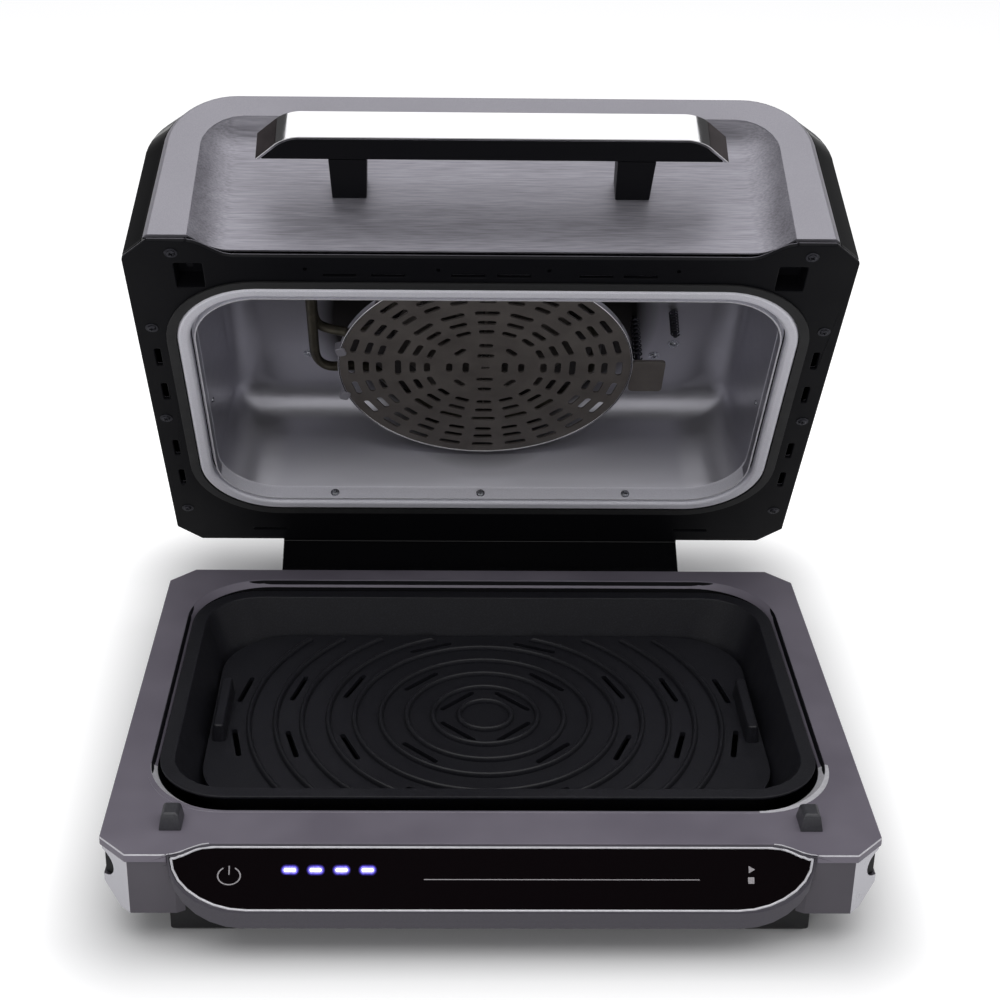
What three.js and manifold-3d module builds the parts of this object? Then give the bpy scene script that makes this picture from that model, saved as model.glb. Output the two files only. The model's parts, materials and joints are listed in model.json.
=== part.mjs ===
// Air fryer grill: a wide base with a lift-out pan, and a tall lid hinged behind it.
// Millimetres, +X to the right, the front faces -Y, +Z up, standing on z = 0.
// The lid is modelled shut and then turned open about its hinge pins.
import * as THREE from 'three';
import { mergeVertices } from 'three/addons/utils/BufferGeometryUtils.js';
import Module from 'manifold-3d';

const wasm = await Module();
wasm.setup();

// Driving sizes of the whole appliance
const body_width = 430;
const body_depth = 324;
const base_height = 60;
const corner_cut = 16;
const lid_height = 119;
const lid_open_angle = THREE.MathUtils.degToRad(59);
const seat_gap = 0.3;
const overrun = 2;
const arc_steps = 6;
const grip_arc_steps = 3;

// Base: top plate, skirt and bottom cover
const plate_thickness = 5;
const skirt_wall = 2.5;
const skirt_inset = 1;
const skirt_height = 34.5;
const skirt_side_undercut = 10;
const floor_thickness = 2;
const floor_side_inset = 15;
const vent_slot_length = 60;
const vent_slot_width = 4;
const vent_slot_pitch = 14;
const vent_slot_count = 7;

// Base: side grips let into the skirt
const grip_height = 17;
const grip_drop = 3;
const grip_front_margin = 10;
const grip_back_margin = 40;
const grip_thickness = 2;
const grip_sink = 1.2;
const grip_overlap = 2.4;

// Base: feet
const foot_width = 38;
const foot_length = 28;
const foot_side_margin = 37;
const foot_front_margin = 10;
const foot_back_margin = 4;
const foot_draft = 3;

// Base: control pod across the front
const pod_side_margin = 39;
const pod_setback = 10;
const pod_reach = 14;
const pod_face_drop = 28;
const pod_end_drop = 3;
const pod_end_run = 41;
const pod_setback_run = 22;
const pod_sections = 7;
const pod_root = 9;
const glass_inset = 1.3;
const glass_thickness = 1.6;
const glass_recess = 0.8;
const board_thickness = 1.6;
const control_board_inset = 46;
const control_board_height = 22;
const power_board_inset = 116;
const power_board_length = 14;
const board_margin = 3;

// Base: locating studs
const stud_side_margin = 38;
const stud_front = 21.5;
const stud_width = 12.6;
const stud_length = 15.5;
const stud_height = 10;
const stud_draft = 1.5;

// Base: bay for the pan
const bay_side_margin = 18;
const bay_front = 40;
const bay_back_margin = 15;
const bay_radius = 46;
const bay_depth = 51;
const bay_taper = 27;
const liner_wall = 1;
const sump_clearance = 0.5;
const sump_wall = 1.5;
const pad_radius = 8;
const pad_height = 3;
const pad_side = 120;
const pad_margin = 62;

// Pan and grate
const pan_rim_side = 4.5;
const pan_rim_front = 15;
const pan_rim_back = 14;
const pan_rim_radius = 42;
const pan_rim_width = 7;
const pan_rim_thickness = 2;
const pan_rim_drop = 0.8;
const pan_taper = 19;
const pan_wall = 1.6;
const grate_gap = 1.5;
const grate_drop = 21;
const grate_thickness = 3;
const grate_radius = 45;
const grate_rib_height = 3;
const grate_rib_width = 3.6;
const grate_rib_pitch = 16.5;
const grate_rib_margin = 7;
const grate_slot_width = 3.5;
const grate_slot_length = 30;
const grate_round_steps = 20;
const grate_peg_radius = 4;
const grate_peg_inset = 38;
const grate_seat_radius = 7;
const grate_seat_height = 3;
const grate_lug_length = 60;
const grate_lug_width = 9;
const grate_lug_height = 11;
const grate_lug_inset = 2;

// Hinge behind the base
const hinge_setback = 20.3;
const hinge_drop = 30.6;
const hinge_pin_radius = 5;
const hinge_clearance = 0.3;
const hinge_pin_depth = 24;
const hinge_arm_side_margin = 74;
const hinge_arm_front_gap = 2;
const hinge_arm_thickness = 24;
const hinge_arm_rise = 36;
const hinge_barrel_radius = 14;
const hinge_washer_thickness = 1;
const hinge_washer_radius = 9;
const hinge_ear_width = 18;
const hinge_ear_radius = 11;
const hinge_round_steps = 16;

// Cord gland at the back of the base
const gland_side_margin = 27;
const gland_radius = 7;
const gland_length = 14;
const gland_bore = 3.6;
const gland_drop = 24;

// Lid: shell, flange and dished front panel
const lid_gap = 3;
const cover_thickness = 3;
const lid_side_taper = 6;
const lid_corner_radius = 40;
const lid_crown = 2;
const lid_back_drop = 8;
const lid_wall = 2.5;
const lid_front_frame = 16;
const flange_thickness = 3;
const panel_side_margin = 39;
const panel_top_margin = 17;
const panel_radius = 24;
const panel_side_lean = 0.035;
const panel_dish = 13;
const panel_dish_run = 25;
const panel_dish_steps = 4;
const panel_sheet = 1.5;

// Lid: handle on two posts
const handle_side_margin = 77.5;
const handle_end_run = 26.5;
const handle_end_angle = THREE.MathUtils.degToRad(46);
const handle_depth = 18.5;
const handle_height = 21;
const handle_standoff = 20;
const handle_rise = 45.6;
const handle_cover_sheet = 2;
const post_inset = 53.5;
const post_width = 22.5;
const post_height = 17;
const post_draft = 1;

// Lid: black inner cover with its pockets and slots
const frame_side_margin = 24;
const frame_front = 41;
const frame_back_margin = 43;
const frame_radius = 52;
const frame_width = 11;
const frame_height = 8;
const frame_proud = 1.5;
const frame_edge = 1.5;
const gasket_width = 6;
const gasket_thickness = 1.2;
const pocket_width = 16.5;
const pocket_length = 22;
const pocket_front_clearance = 2;
const pocket_depth = 13;
const pocket_wall = 2;
const cover_slot_length = 20;
const cover_slot_width = 2.2;
const cover_slot_setback = 29.5;
const cover_slot_places_shares = [-0.414, -0.281, -0.063, 0.063, 0.288, 0.409];
const side_slot_length = 17;
const side_slot_width = 3.4;
const side_slot_inset = 10.5;
const side_slot_places_shares = [0.339, 0.45, 0.645, 0.753];
const rear_slot_length = 24;
const rear_slot_setback = 14;
const rear_slot_side_margin = 66;

// Lid: cooking cavity
const cavity_wall_height = 10.5;
const cavity_depth = 72;
const cavity_slope = 20.5;
const cavity_side_slope = 12;
const cavity_roof_radius = 34;
const sheet_wall = 1;

// Lid: fan guard and its bracket
const guard_margin = 12.4;
const guard_rise = 31.7;
const guard_thickness = 1.2;
const guard_rim_height = 4;
const guard_slot_width = 4.2;
const guard_ring_radii_shares = [0.133, 0.244, 0.395, 0.493, 0.592, 0.72, 0.81, 0.908];
const guard_ring_counts = [4, 8, 16, 16, 16, 24, 24, 24];
const guard_slot_fill_shares = [0.57, 0.52, 0.66, 0.63, 0.7, 0.63, 0.64, 0.64];
const guard_round_steps = 36;
const tab_width = 22;
const tab_length = 33;
const tab_forward = 8;

// Lid: heater
const heater_fan_gap = 14;
const heater_tube_radius = 3.4;
const heater_rise = 47;
const heater_leg_gap = 15.4;
const heater_leg_spread = 4.2;
const heater_riser_margin = 11.2;
const heater_riser_pitch = 12;
const heater_joint_spread = 15.5;
const heater_bend = 9;
const heater_sides = 6;
const heater_steps = 48;
const heater_terminal_rise = 8;
const heater_hole_clearance = 1;

// Lid: fans, shaft and motor
const fan_guard_share = 0.62;
const fan_hub_radius = 9;
const fan_rise = 41;
const fan_height = 19;
const fan_blade_count = 8;
const fan_sheet = 1.2;
const shaft_radius = 3;
const shaft_steps = 12;
const bracket_length = 130;
const bracket_width = 40;
const bracket_sheet = 1.5;
const bracket_rise = 5;
const bracket_foot = 12;
const motor_radius = 29;
const motor_height = 22;
const cooler_radius = 36;
const cooler_height = 8;
const cooler_blade_count = 7;

// Lid: sensor, lid switch and back vent
const sensor_side_margin = 42.7;
const sensor_forward = 11;
const sensor_radius = 2.2;
const sensor_length = 22;
const sensor_boss = 5;
const switch_length = 18;
const switch_height = 12;
const plunger_radius = 2.2;
const plunger_tip_clearance = 0.5;
const plunger_travel = 2.5;
const plunger_steps = 12;
const back_vent_side_margin = 41;
const back_vent_height = 48;
const back_vent_rise = 47;
const back_vent_thickness = 2;
const back_vent_slots = 7;
const back_vent_slot_height = 3;

// Heights and places that follow from the sizes above
const plate_top = base_height;
const plate_bottom = plate_top - plate_thickness;
const skirt_bottom = plate_bottom - skirt_height;
const half_width = body_width / 2;
const pod_half_width = half_width - pod_side_margin;
const stud_offset = half_width - stud_side_margin;
const bay_half_width = half_width - bay_side_margin;
const bay_back = body_depth - bay_back_margin;
const hinge_arm_half_width = half_width - hinge_arm_side_margin;
const gland_offset = half_width - gland_side_margin;
const panel_half_width = half_width - panel_side_margin;
const handle_half = half_width - handle_side_margin;
const post_offset = handle_half - post_inset;
const frame_half_width = half_width - frame_side_margin;
const frame_back = body_depth - frame_back_margin;
const rear_slot_offset = half_width - rear_slot_side_margin;
const back_vent_half_width = hinge_arm_half_width - back_vent_side_margin;
const hinge_y = body_depth + hinge_setback;
const hinge_z = plate_top - hinge_drop;
const lid_bottom = plate_top + lid_gap;
const cover_top = lid_bottom + cover_thickness;
const shell_bottom = cover_top + seat_gap;
const lid_top = lid_bottom + lid_height;
const liner_floor = plate_top - bay_depth;
const sump_floor = liner_floor - liner_wall - sump_clearance;
const pan_bottom = liner_floor + pad_height + seat_gap;
const pan_half_width = bay_half_width - pan_rim_side;
const pan_front = bay_front + pan_rim_front;
const pan_back = bay_back - pan_rim_back;
const grate_top = plate_top - grate_drop;
const frame_bottom = lid_bottom - frame_proud;
const cavity_half = frame_half_width - frame_width - seat_gap;
const cavity_front = frame_front + frame_width + seat_gap;
const cavity_back = frame_back - frame_width - seat_gap;
const cavity_roof = lid_bottom + cavity_depth;
const guard_setback = (frame_front + frame_back) / 2;
const guard_radius = (frame_back - frame_front) / 2 - frame_width - guard_margin;
const fan_radius = guard_radius * fan_guard_share;
const heater_radius = fan_radius + heater_fan_gap;
const heater_leg_offset = guard_radius + heater_leg_gap;
const heater_riser_front = cavity_front + cavity_slope + heater_riser_margin;
const sensor_offset = cavity_half - cavity_side_slope - sensor_side_margin;
const sensor_setback = guard_setback - sensor_forward;
const guard_z = lid_bottom + guard_rise;
const heater_z = lid_bottom + heater_rise;
const fan_bottom = lid_bottom + fan_rise;
const bracket_top = cavity_roof + sheet_wall + seat_gap + bracket_rise + bracket_sheet;
const motor_bottom = bracket_top + seat_gap;
const cooler_bottom = motor_bottom + motor_height + seat_gap;
const handle_bottom = lid_bottom + handle_rise;
const stud_top = plate_top + stud_height;
const pocket_top = lid_bottom + pocket_depth;

// Finishes
const colours = {
  grey: 0x6b6970, flange: 0x9a999f, brushed: 0x84828c, black: 0x141416, gloss: 0x08080a,
  steel: 0xa2a2aa, chrome: 0xd8d8dc, dark: 0x33302f, rubber: 0x17171a, board: 0x1f5a35,
  olive: 0x4a4a40, copper: 0x9a5a3a,
};

function finish(colour, roughness, metalness) {
  return new THREE.MeshStandardMaterial({ color: colours[colour], roughness, metalness });
}

// Solids: joins and cuts between closed meshes
function solidOf(geometry) {
  const bare = geometry.clone();
  bare.deleteAttribute('normal');
  bare.deleteAttribute('uv');
  const merged = mergeVertices(bare);
  const vertProperties = new Float32Array(merged.attributes.position.array);
  const triVerts = new Uint32Array(merged.index.array);
  return new wasm.Manifold(new wasm.Mesh({ numProp: 3, vertProperties, triVerts }));
}

function geometryOf(solid) {
  const mesh = solid.getMesh();
  const geometry = new THREE.BufferGeometry();
  geometry.setAttribute('position', new THREE.BufferAttribute(mesh.vertProperties, 3));
  geometry.setIndex(new THREE.BufferAttribute(mesh.triVerts, 1));
  return geometry;
}

function join(geometries) {
  return geometryOf(geometries.map(solidOf).reduce((whole, piece) => whole.add(piece)));
}

function cut(geometry, cutters) {
  return geometryOf(cutters.map(solidOf).reduce((whole, piece) => whole.subtract(piece), solidOf(geometry)));
}

function common(first, second) {
  return geometryOf(solidOf(first).intersect(solidOf(second)));
}

// Prisms: an outline drawn in one plane and extruded square to it
function extrude(shape, depth, steps = arc_steps) {
  return new THREE.ExtrudeGeometry(shape, { depth, bevelEnabled: false, curveSegments: steps });
}

function prismZ(shape, low, high) {
  return extrude(shape, high - low).translate(0, 0, low);
}

function prismY(shape, low, high) {
  const turn = new THREE.Matrix4().makeBasis(
    new THREE.Vector3(1, 0, 0), new THREE.Vector3(0, 0, 1), new THREE.Vector3(0, -1, 0));
  return extrude(shape, high - low).applyMatrix4(turn).translate(0, high, 0);
}

function prismX(shape, low, high, steps = arc_steps) {
  const turn = new THREE.Matrix4().makeBasis(
    new THREE.Vector3(0, 1, 0), new THREE.Vector3(0, 0, 1), new THREE.Vector3(1, 0, 0));
  return extrude(shape, high - low, steps).applyMatrix4(turn).translate(low, 0, 0);
}

function block(x0, x1, y0, y1, z0, z1) {
  const box = new THREE.BoxGeometry(x1 - x0, y1 - y0, z1 - z0);
  return box.translate((x0 + x1) / 2, (y0 + y1) / 2, (z0 + z1) / 2);
}

function rodZ(radius, x, y, low, high, sides) {
  const rod = new THREE.CylinderGeometry(radius, radius, high - low, sides);
  return rod.rotateX(Math.PI / 2).translate(x, y, (low + high) / 2);
}

function rodX(radius, low, high, y, z, sides) {
  const rod = new THREE.CylinderGeometry(radius, radius, high - low, sides);
  return rod.rotateZ(Math.PI / 2).translate((low + high) / 2, y, z);
}

function rodY(radius, x, low, high, z, sides) {
  return new THREE.CylinderGeometry(radius, radius, high - low, sides).translate(x, (low + high) / 2, z);
}

function outline(points) {
  return new THREE.Shape(points.map(([u, v]) => new THREE.Vector2(u, v)));
}

function roundedBox(left, right, low, high, radius) {
  const quarter = Math.PI / 2;
  const shape = new THREE.Shape();
  shape.absarc(right - radius, high - radius, radius, 0, quarter);
  shape.absarc(left + radius, high - radius, radius, quarter, 2 * quarter);
  shape.absarc(left + radius, low + radius, radius, 2 * quarter, 3 * quarter);
  shape.absarc(right - radius, low + radius, radius, 3 * quarter, 4 * quarter);
  return shape;
}

// Lofts: rings with as many points each, joined in order and capped at both ends
function loft(rings) {
  const count = rings[0].length;
  const points = rings.flat();
  const faces = [];
  for (let ring = 0; ring + 1 < rings.length; ring += 1) {
    for (let i = 0; i < count; i += 1) {
      const a = ring * count + i;
      const b = ring * count + ((i + 1) % count);
      faces.push(a, b, b + count, a, b + count, a + count);
    }
  }
  for (const [ring, flip] of [[0, true], [rings.length - 1, false]]) {
    const centre = points.length;
    const sum = new THREE.Vector3();
    rings[ring].forEach((point) => sum.add(point));
    points.push(sum.divideScalar(count));
    for (let i = 0; i < count; i += 1) {
      const a = ring * count + i;
      const b = ring * count + ((i + 1) % count);
      faces.push(centre, flip ? b : a, flip ? a : b);
    }
  }
  return outward(points, faces);
}

function outward(points, faces) {
  let volume = 0;
  for (let i = 0; i < faces.length; i += 3) {
    const [a, b, c] = [points[faces[i]], points[faces[i + 1]], points[faces[i + 2]]];
    volume += a.dot(new THREE.Vector3().crossVectors(b, c));
  }
  const geometry = new THREE.BufferGeometry().setFromPoints(points);
  geometry.setIndex(volume > 0 ? faces : faces.slice().reverse());
  return geometry;
}

// The corner points of a rectangle with round corners, from its top right corner round
function roundedRing(half, low, high, radius, place) {
  const ring = [];
  const corners = [[1, high - radius], [-1, high - radius], [-1, low + radius], [1, low + radius]];
  corners.forEach(([side, centre], quarter) => {
    for (let step = 0; step <= arc_steps; step += 1) {
      const angle = (quarter + step / arc_steps) * Math.PI / 2;
      ring.push(place(side * (half - radius) + radius * Math.cos(angle), centre + radius * Math.sin(angle)));
    }
  });
  return ring;
}

function levelRing(half, front, back, radius, z) {
  return roundedRing(half, front, back, radius, (x, y) => new THREE.Vector3(x, y, z));
}

function uprightRing(half, low, high, radius, y) {
  return roundedRing(half, low, high, radius, (x, z) => new THREE.Vector3(x, y, z));
}

// An eight-sided plan of the body, drawn in by an inset at its sides and ends
function bodyPlan(side_inset, end_inset = side_inset) {
  const side = half_width - side_inset;
  const front = end_inset;
  const back = body_depth - end_inset;
  const near = side - corner_cut;
  return outline([
    [-near, front], [near, front], [side, front + corner_cut], [side, back - corner_cut],
    [near, back], [-near, back], [-side, back - corner_cut], [-side, front + corner_cut],
  ]);
}

// The smooth step that both front recesses follow
function easeIn(distance, run) {
  const share = Math.min(Math.max(distance / run, 0), 1);
  return share * share * (3 - 2 * share);
}

// The front recess in plan, from one end to the other, closed ahead of or behind its edge
function recessEdge(half, run, setback, grow) {
  const points = [];
  for (let step = 0; step <= arc_steps; step += 1) {
    const along = run * step / arc_steps;
    points.push([-half - grow + along, setback * easeIn(along, run) + grow]);
  }
  return [...points, ...points.map(([x, y]) => [-x, y]).reverse()];
}

function recessAhead(half, run, setback, grow) {
  const edge = recessEdge(half, run, setback, grow);
  return outline([[-half - grow, -corner_cut], ...edge, [half + grow, -corner_cut]]);
}

// Base pieces
function topPlate() {
  const slab = prismZ(bodyPlan(0), plate_bottom, plate_top);
  const bay = prismZ(roundedBox(-bay_half_width, bay_half_width, bay_front, bay_back, bay_radius),
    plate_bottom - overrun, plate_top + overrun);
  const recess = prismZ(recessAhead(pod_half_width, pod_setback_run, pod_setback, seat_gap),
    plate_bottom - overrun, plate_top + overrun);
  return cut(slab, [bay, recess]);
}

function sideUndercut(side, shift) {
  const low = skirt_bottom - overrun;
  const foot = half_width - skirt_inset - skirt_side_undercut - overrun - shift * Math.SQRT2;
  const rise = half_width + overrun - foot;
  const wedge = outline([[side * foot, low], [side * (foot + rise), low], [side * (foot + rise), low + rise]]);
  return prismY(wedge, -overrun, body_depth + overrun);
}

function gripBand(side, grow) {
  const high = plate_bottom - grip_drop + grow;
  const low = plate_bottom - grip_drop - grip_height - grow;
  const radius = grip_height / 2 + Math.min(grow, 0);
  const shape = roundedBox(grip_front_margin - grow, body_depth - grip_back_margin + grow, low, high, radius);
  const outer = side * (half_width + overrun);
  const inner = side * (half_width - corner_cut - skirt_wall);
  return prismX(shape, Math.min(outer, inner), Math.max(outer, inner), grip_arc_steps);
}

function skirt() {
  const outer = cut(prismZ(bodyPlan(skirt_inset), skirt_bottom, plate_bottom),
    [sideUndercut(-1, 0), sideUndercut(1, 0)]);
  const hollow = prismZ(bodyPlan(skirt_inset + skirt_wall), skirt_bottom - overrun, plate_bottom + overrun);
  const inner = cut(hollow, [sideUndercut(-1, skirt_wall), sideUndercut(1, skirt_wall)]);
  const recess = prismZ(recessAhead(pod_half_width, pod_setback_run, pod_setback, seat_gap),
    skirt_bottom - overrun, plate_bottom + overrun);
  return cut(outer, [inner, recess, podBody(seat_gap), gripBand(-1, 0), gripBand(1, 0)]);
}

function sideGrip(side) {
  const inset = skirt_inset + skirt_wall + seat_gap;
  const outer = prismZ(bodyPlan(inset), skirt_bottom, plate_bottom - seat_gap);
  const inner = prismZ(bodyPlan(inset + grip_thickness), skirt_bottom - overrun, plate_bottom);
  const flange = common(cut(outer, [inner]), gripBand(side, grip_overlap));
  const face = prismZ(bodyPlan(skirt_inset + grip_sink), skirt_bottom, plate_bottom - seat_gap);
  return join([flange, common(cut(face, [inner]), gripBand(side, -seat_gap))]);
}

// A tub that narrows towards its floor, drawn in or out by an inset
function bayTub(inset, low, high) {
  const half = bay_half_width - seat_gap - inset;
  const front = bay_front + seat_gap + inset;
  const back = bay_back - seat_gap - inset;
  const radius = bay_radius - inset;
  const slope = bay_taper / bay_depth;
  const ring = (z) => {
    const taper = slope * (plate_top - z);
    return levelRing(half - taper, front + taper, back - taper, radius - taper / 2, z);
  };
  return loft([ring(high), ring(low)]);
}

function bottomCover() {
  const ends = skirt_inset + skirt_wall + seat_gap;
  const high = skirt_bottom + floor_thickness;
  const slots = [];
  for (let i = 0; i < vent_slot_count; i += 1) {
    const y = body_depth / 2 + (i - (vent_slot_count - 1) / 2) * vent_slot_pitch;
    slots.push(block(-vent_slot_length / 2, vent_slot_length / 2, y - vent_slot_width / 2,
      y + vent_slot_width / 2, sump_floor - overrun, sump_floor + overrun));
  }
  const recess = prismZ(recessAhead(pod_half_width, pod_setback_run, pod_setback + pod_root, seat_gap),
    skirt_bottom - overrun, high + overrun);
  const shelf = cut(prismZ(bodyPlan(floor_side_inset, ends), skirt_bottom, high), [recess]);
  const room = -sump_clearance;
  const sump = bayTub(room - sump_wall, sump_floor - sump_wall, high);
  return cut(join([shelf, sump]), [bayTub(room, sump_floor, high + overrun), ...slots]);
}

function foot(side, end) {
  const x0 = half_width - foot_side_margin - foot_width;
  const y0 = end < 0 ? foot_front_margin : body_depth - foot_back_margin - foot_length;
  const level = (draft, z) => [
    [x0 + draft, y0 + draft], [x0 + foot_width - draft, y0 + draft],
    [x0 + foot_width - draft, y0 + foot_length - draft], [x0 + draft, y0 + foot_length - draft],
  ].map(([x, y]) => new THREE.Vector3(side * x, y, z));
  return loft([level(foot_draft, 0), level(0, foot_draft), level(0, skirt_bottom)]);
}

// The control pod: a section at each place along the width, lofted from end to end
function podSection(x, half) {
  const gap = half - Math.abs(x);
  const turn = Math.min(Math.max(gap / pod_end_run, 0), 1);
  const round = Math.sqrt(1 - (1 - turn) * (1 - turn));
  const depth = plate_top - skirt_bottom - 2 * pod_end_drop;
  const drop = pod_end_drop + (pod_face_drop - pod_end_drop) * round;
  const foot_drop = 2 * pod_end_drop + depth * round;
  return {
    top: pod_setback * easeIn(gap, pod_setback_run),
    nose: -pod_reach * round,
    lip: plate_top - drop,
    chin: plate_top - foot_drop + pod_end_drop / 2,
    heel: plate_top - foot_drop,
    round,
  };
}

function podStations(half) {
  const left = [];
  for (let i = 0; i <= pod_sections; i += 1) {
    const angle = (i / pod_sections) * Math.PI / 2;
    left.push(-half + pod_end_run * (1 - Math.cos(angle)));
  }
  return [...left, ...left.map((x) => -x).reverse()];
}

function podBody(grow) {
  const back = pod_setback + pod_root + grow;
  return loft(podStations(pod_half_width + grow).map((x) => {
    const { top, nose, lip, chin, heel, round } = podSection(x, pod_half_width + grow);
    return [
      [back, plate_top], [top - grow, plate_top], [nose - grow, lip], [nose - grow, chin],
      [nose + pod_end_drop * round - grow, heel - grow], [back, heel - grow],
    ].map(([y, z]) => new THREE.Vector3(x, y, z));
  }));
}

// The room that the top plate takes behind the pod, drawn forward by a gap
function plateRoom(gap) {
  const far = pod_setback + pod_root + overrun;
  const edge = recessEdge(pod_half_width, pod_setback_run, pod_setback, -gap);
  const ledge = outline([
    ...edge, [pod_half_width + overrun, -gap], [pod_half_width + overrun, far],
    [-pod_half_width - overrun, far], [-pod_half_width - overrun, -gap],
  ]);
  return prismZ(ledge, plate_bottom - seat_gap - gap, plate_top + overrun);
}

function panelBezel() {
  return cut(podBody(0), [plateRoom(0), glassSlab(0, -overrun, glass_recess + glass_thickness)]);
}

// The slab that the touch glass fills, from one depth behind the pod's face to another
function glassSlab(shrink, from, to) {
  const half = pod_half_width - glass_inset - 3 * shrink;
  const slope = new THREE.Vector2(pod_setback + pod_reach, pod_face_drop).normalize();
  const margin = (glass_inset + shrink) * slope.y;
  const rings = podStations(half).map((x) => {
    const face = podSection(x, pod_half_width);
    const high = plate_top - margin;
    const low = Math.min(podSection(x, half).lip + margin, high - glass_recess);
    const ahead = (z) => face.top + (face.nose - face.top) * (plate_top - z) / (plate_top - face.lip);
    return [[high, from], [low, from], [low, to], [high, to]]
      .map(([z, deep]) => new THREE.Vector3(x, ahead(z) + slope.y * deep, z - slope.x * deep));
  });
  return loft(rings);
}

function touchGlass() {
  return cut(glassSlab(seat_gap, glass_recess, glass_recess + glass_thickness - seat_gap), [plateRoom(seat_gap)]);
}

function controlBoard() {
  const y = pod_setback + pod_root + seat_gap;
  const high = plate_bottom - board_margin;
  const reach = pod_half_width - control_board_inset;
  return block(-reach, reach, y, y + board_thickness, high - control_board_height, high);
}

function powerBoard() {
  const z = skirt_bottom + floor_thickness + seat_gap;
  const y = pod_setback + pod_root + 2 * board_margin;
  const reach = pod_half_width - power_board_inset;
  return block(-reach, reach, y, y + power_board_length, z, z + board_thickness);
}

function stud(side) {
  const middle = stud_front + stud_length / 2;
  const level = (draft, z) => [[-1, -1], [1, -1], [1, 1], [-1, 1]].map(([u, v]) => new THREE.Vector3(
    side * stud_offset + u * (stud_width / 2 - draft), middle + v * (stud_length / 2 - draft), z));
  return loft([level(0, plate_top), level(stud_draft, stud_top - stud_draft), level(2 * stud_draft, stud_top)]);
}

function bayLiner() {
  const tub = cut(bayTub(0, liner_floor - liner_wall, plate_top), [bayTub(liner_wall, liner_floor, plate_top + overrun)]);
  const pads = [];
  for (const side of [-1, 1]) {
    for (const y of [bay_front + pad_margin, bay_back - pad_margin]) {
      pads.push(rodZ(pad_radius, side * pad_side, y, liner_floor - liner_wall / 2, liner_floor + pad_height,
        shaft_steps));
    }
  }
  return join([tub, ...pads]);
}

function panTub(inset, low, high) {
  const rim = pan_rim_width + inset;
  return loft([
    levelRing(pan_half_width - rim, pan_front + rim, pan_back - rim, pan_rim_radius - rim, high),
    levelRing(pan_half_width - rim - pan_taper, pan_front + rim + pan_taper, pan_back - rim - pan_taper,
      pan_rim_radius - rim - pan_wall, low),
  ]);
}

function pan() {
  const rim_top = plate_top - pan_rim_drop;
  const rim = prismZ(roundedBox(-pan_half_width, pan_half_width, pan_front, pan_back, pan_rim_radius),
    rim_top - pan_rim_thickness, rim_top);
  const wall = panTub(0, pan_bottom, rim_top - pan_rim_thickness / 2);
  const hollow = panTub(pan_wall, pan_bottom + pan_wall, rim_top);
  const mouth = panTub(pan_wall, rim_top - pan_wall, rim_top + overrun);
  const lip = pan_rim_width + pan_wall;
  const edge = prismZ(roundedBox(-pan_half_width + lip, pan_half_width - lip, pan_front + lip, pan_back - lip,
    pan_rim_radius - lip), rim_top - pan_wall, rim_top + overrun);
  const tub = cut(join([rim, wall]), [hollow, common(mouth, edge)]);
  const seats = pegPlaces().map(([x, y]) => rodZ(grate_seat_radius, x, y, pan_bottom + pan_wall / 2,
    pan_bottom + pan_wall + grate_seat_height, shaft_steps));
  return join([tub, ...seats]);
}

// The pan's inner half width and ends at a height
function panInside(z) {
  const rim_top = plate_top - pan_rim_drop;
  const share = (rim_top - z) / (rim_top - pan_bottom - pan_wall);
  const inset = pan_rim_width + pan_wall + pan_taper * share;
  return { half: pan_half_width - inset, front: pan_front + inset, back: pan_back - inset };
}

// The grate's outline where its plate lies in the pan
function grateRoom() {
  const room = panInside(grate_top - grate_rib_height - grate_thickness);
  return { half: room.half - grate_gap, front: room.front + grate_gap, back: room.back - grate_gap };
}

// Where the grate's four pegs stand on the pan's raised seats
function pegPlaces() {
  const { half, front, back } = grateRoom();
  return [-1, 1].flatMap((side) => [front + grate_peg_inset, back - grate_peg_inset]
    .map((y) => [side * (half - grate_peg_inset), y]));
}

// A ring of the grate, round its middle, kept inside the plate's border
function grateRing(radius, width, low, high, middle, border) {
  const outer = rodZ(radius + width / 2, 0, middle, low, high, grate_round_steps);
  const inner = rodZ(radius - width / 2, 0, middle, low - overrun, high + overrun, grate_round_steps);
  return common(cut(outer, [inner]), border);
}

// Slots between the ribs, as many to a ring as its length holds
function grateSlots(radius, middle, low, high, reach, depth) {
  const count = 4 * Math.max(1, Math.floor(Math.PI * radius / (4 * grate_slot_length)));
  const pitch = 2 * Math.PI / count;
  const span = grate_slot_length / radius;
  const slots = [];
  for (let i = 0; i < count; i += 1) {
    const angle = (i + 1 / 2) * pitch;
    const ends = [angle - span / 2, angle + span / 2];
    const inside = ends.every((end) => Math.abs(radius * Math.cos(end)) < reach
      && Math.abs(radius * Math.sin(end)) < depth);
    if (inside) {
      const corners = [[-1, 0], [1, 0], [1, 1], [-1, 1]].map(([side, end]) => {
        const at = radius + side * grate_slot_width / 2;
        return [at * Math.cos(ends[end]), middle + at * Math.sin(ends[end])];
      });
      slots.push(prismZ(outline(corners), low, high));
    }
  }
  return slots;
}

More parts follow.
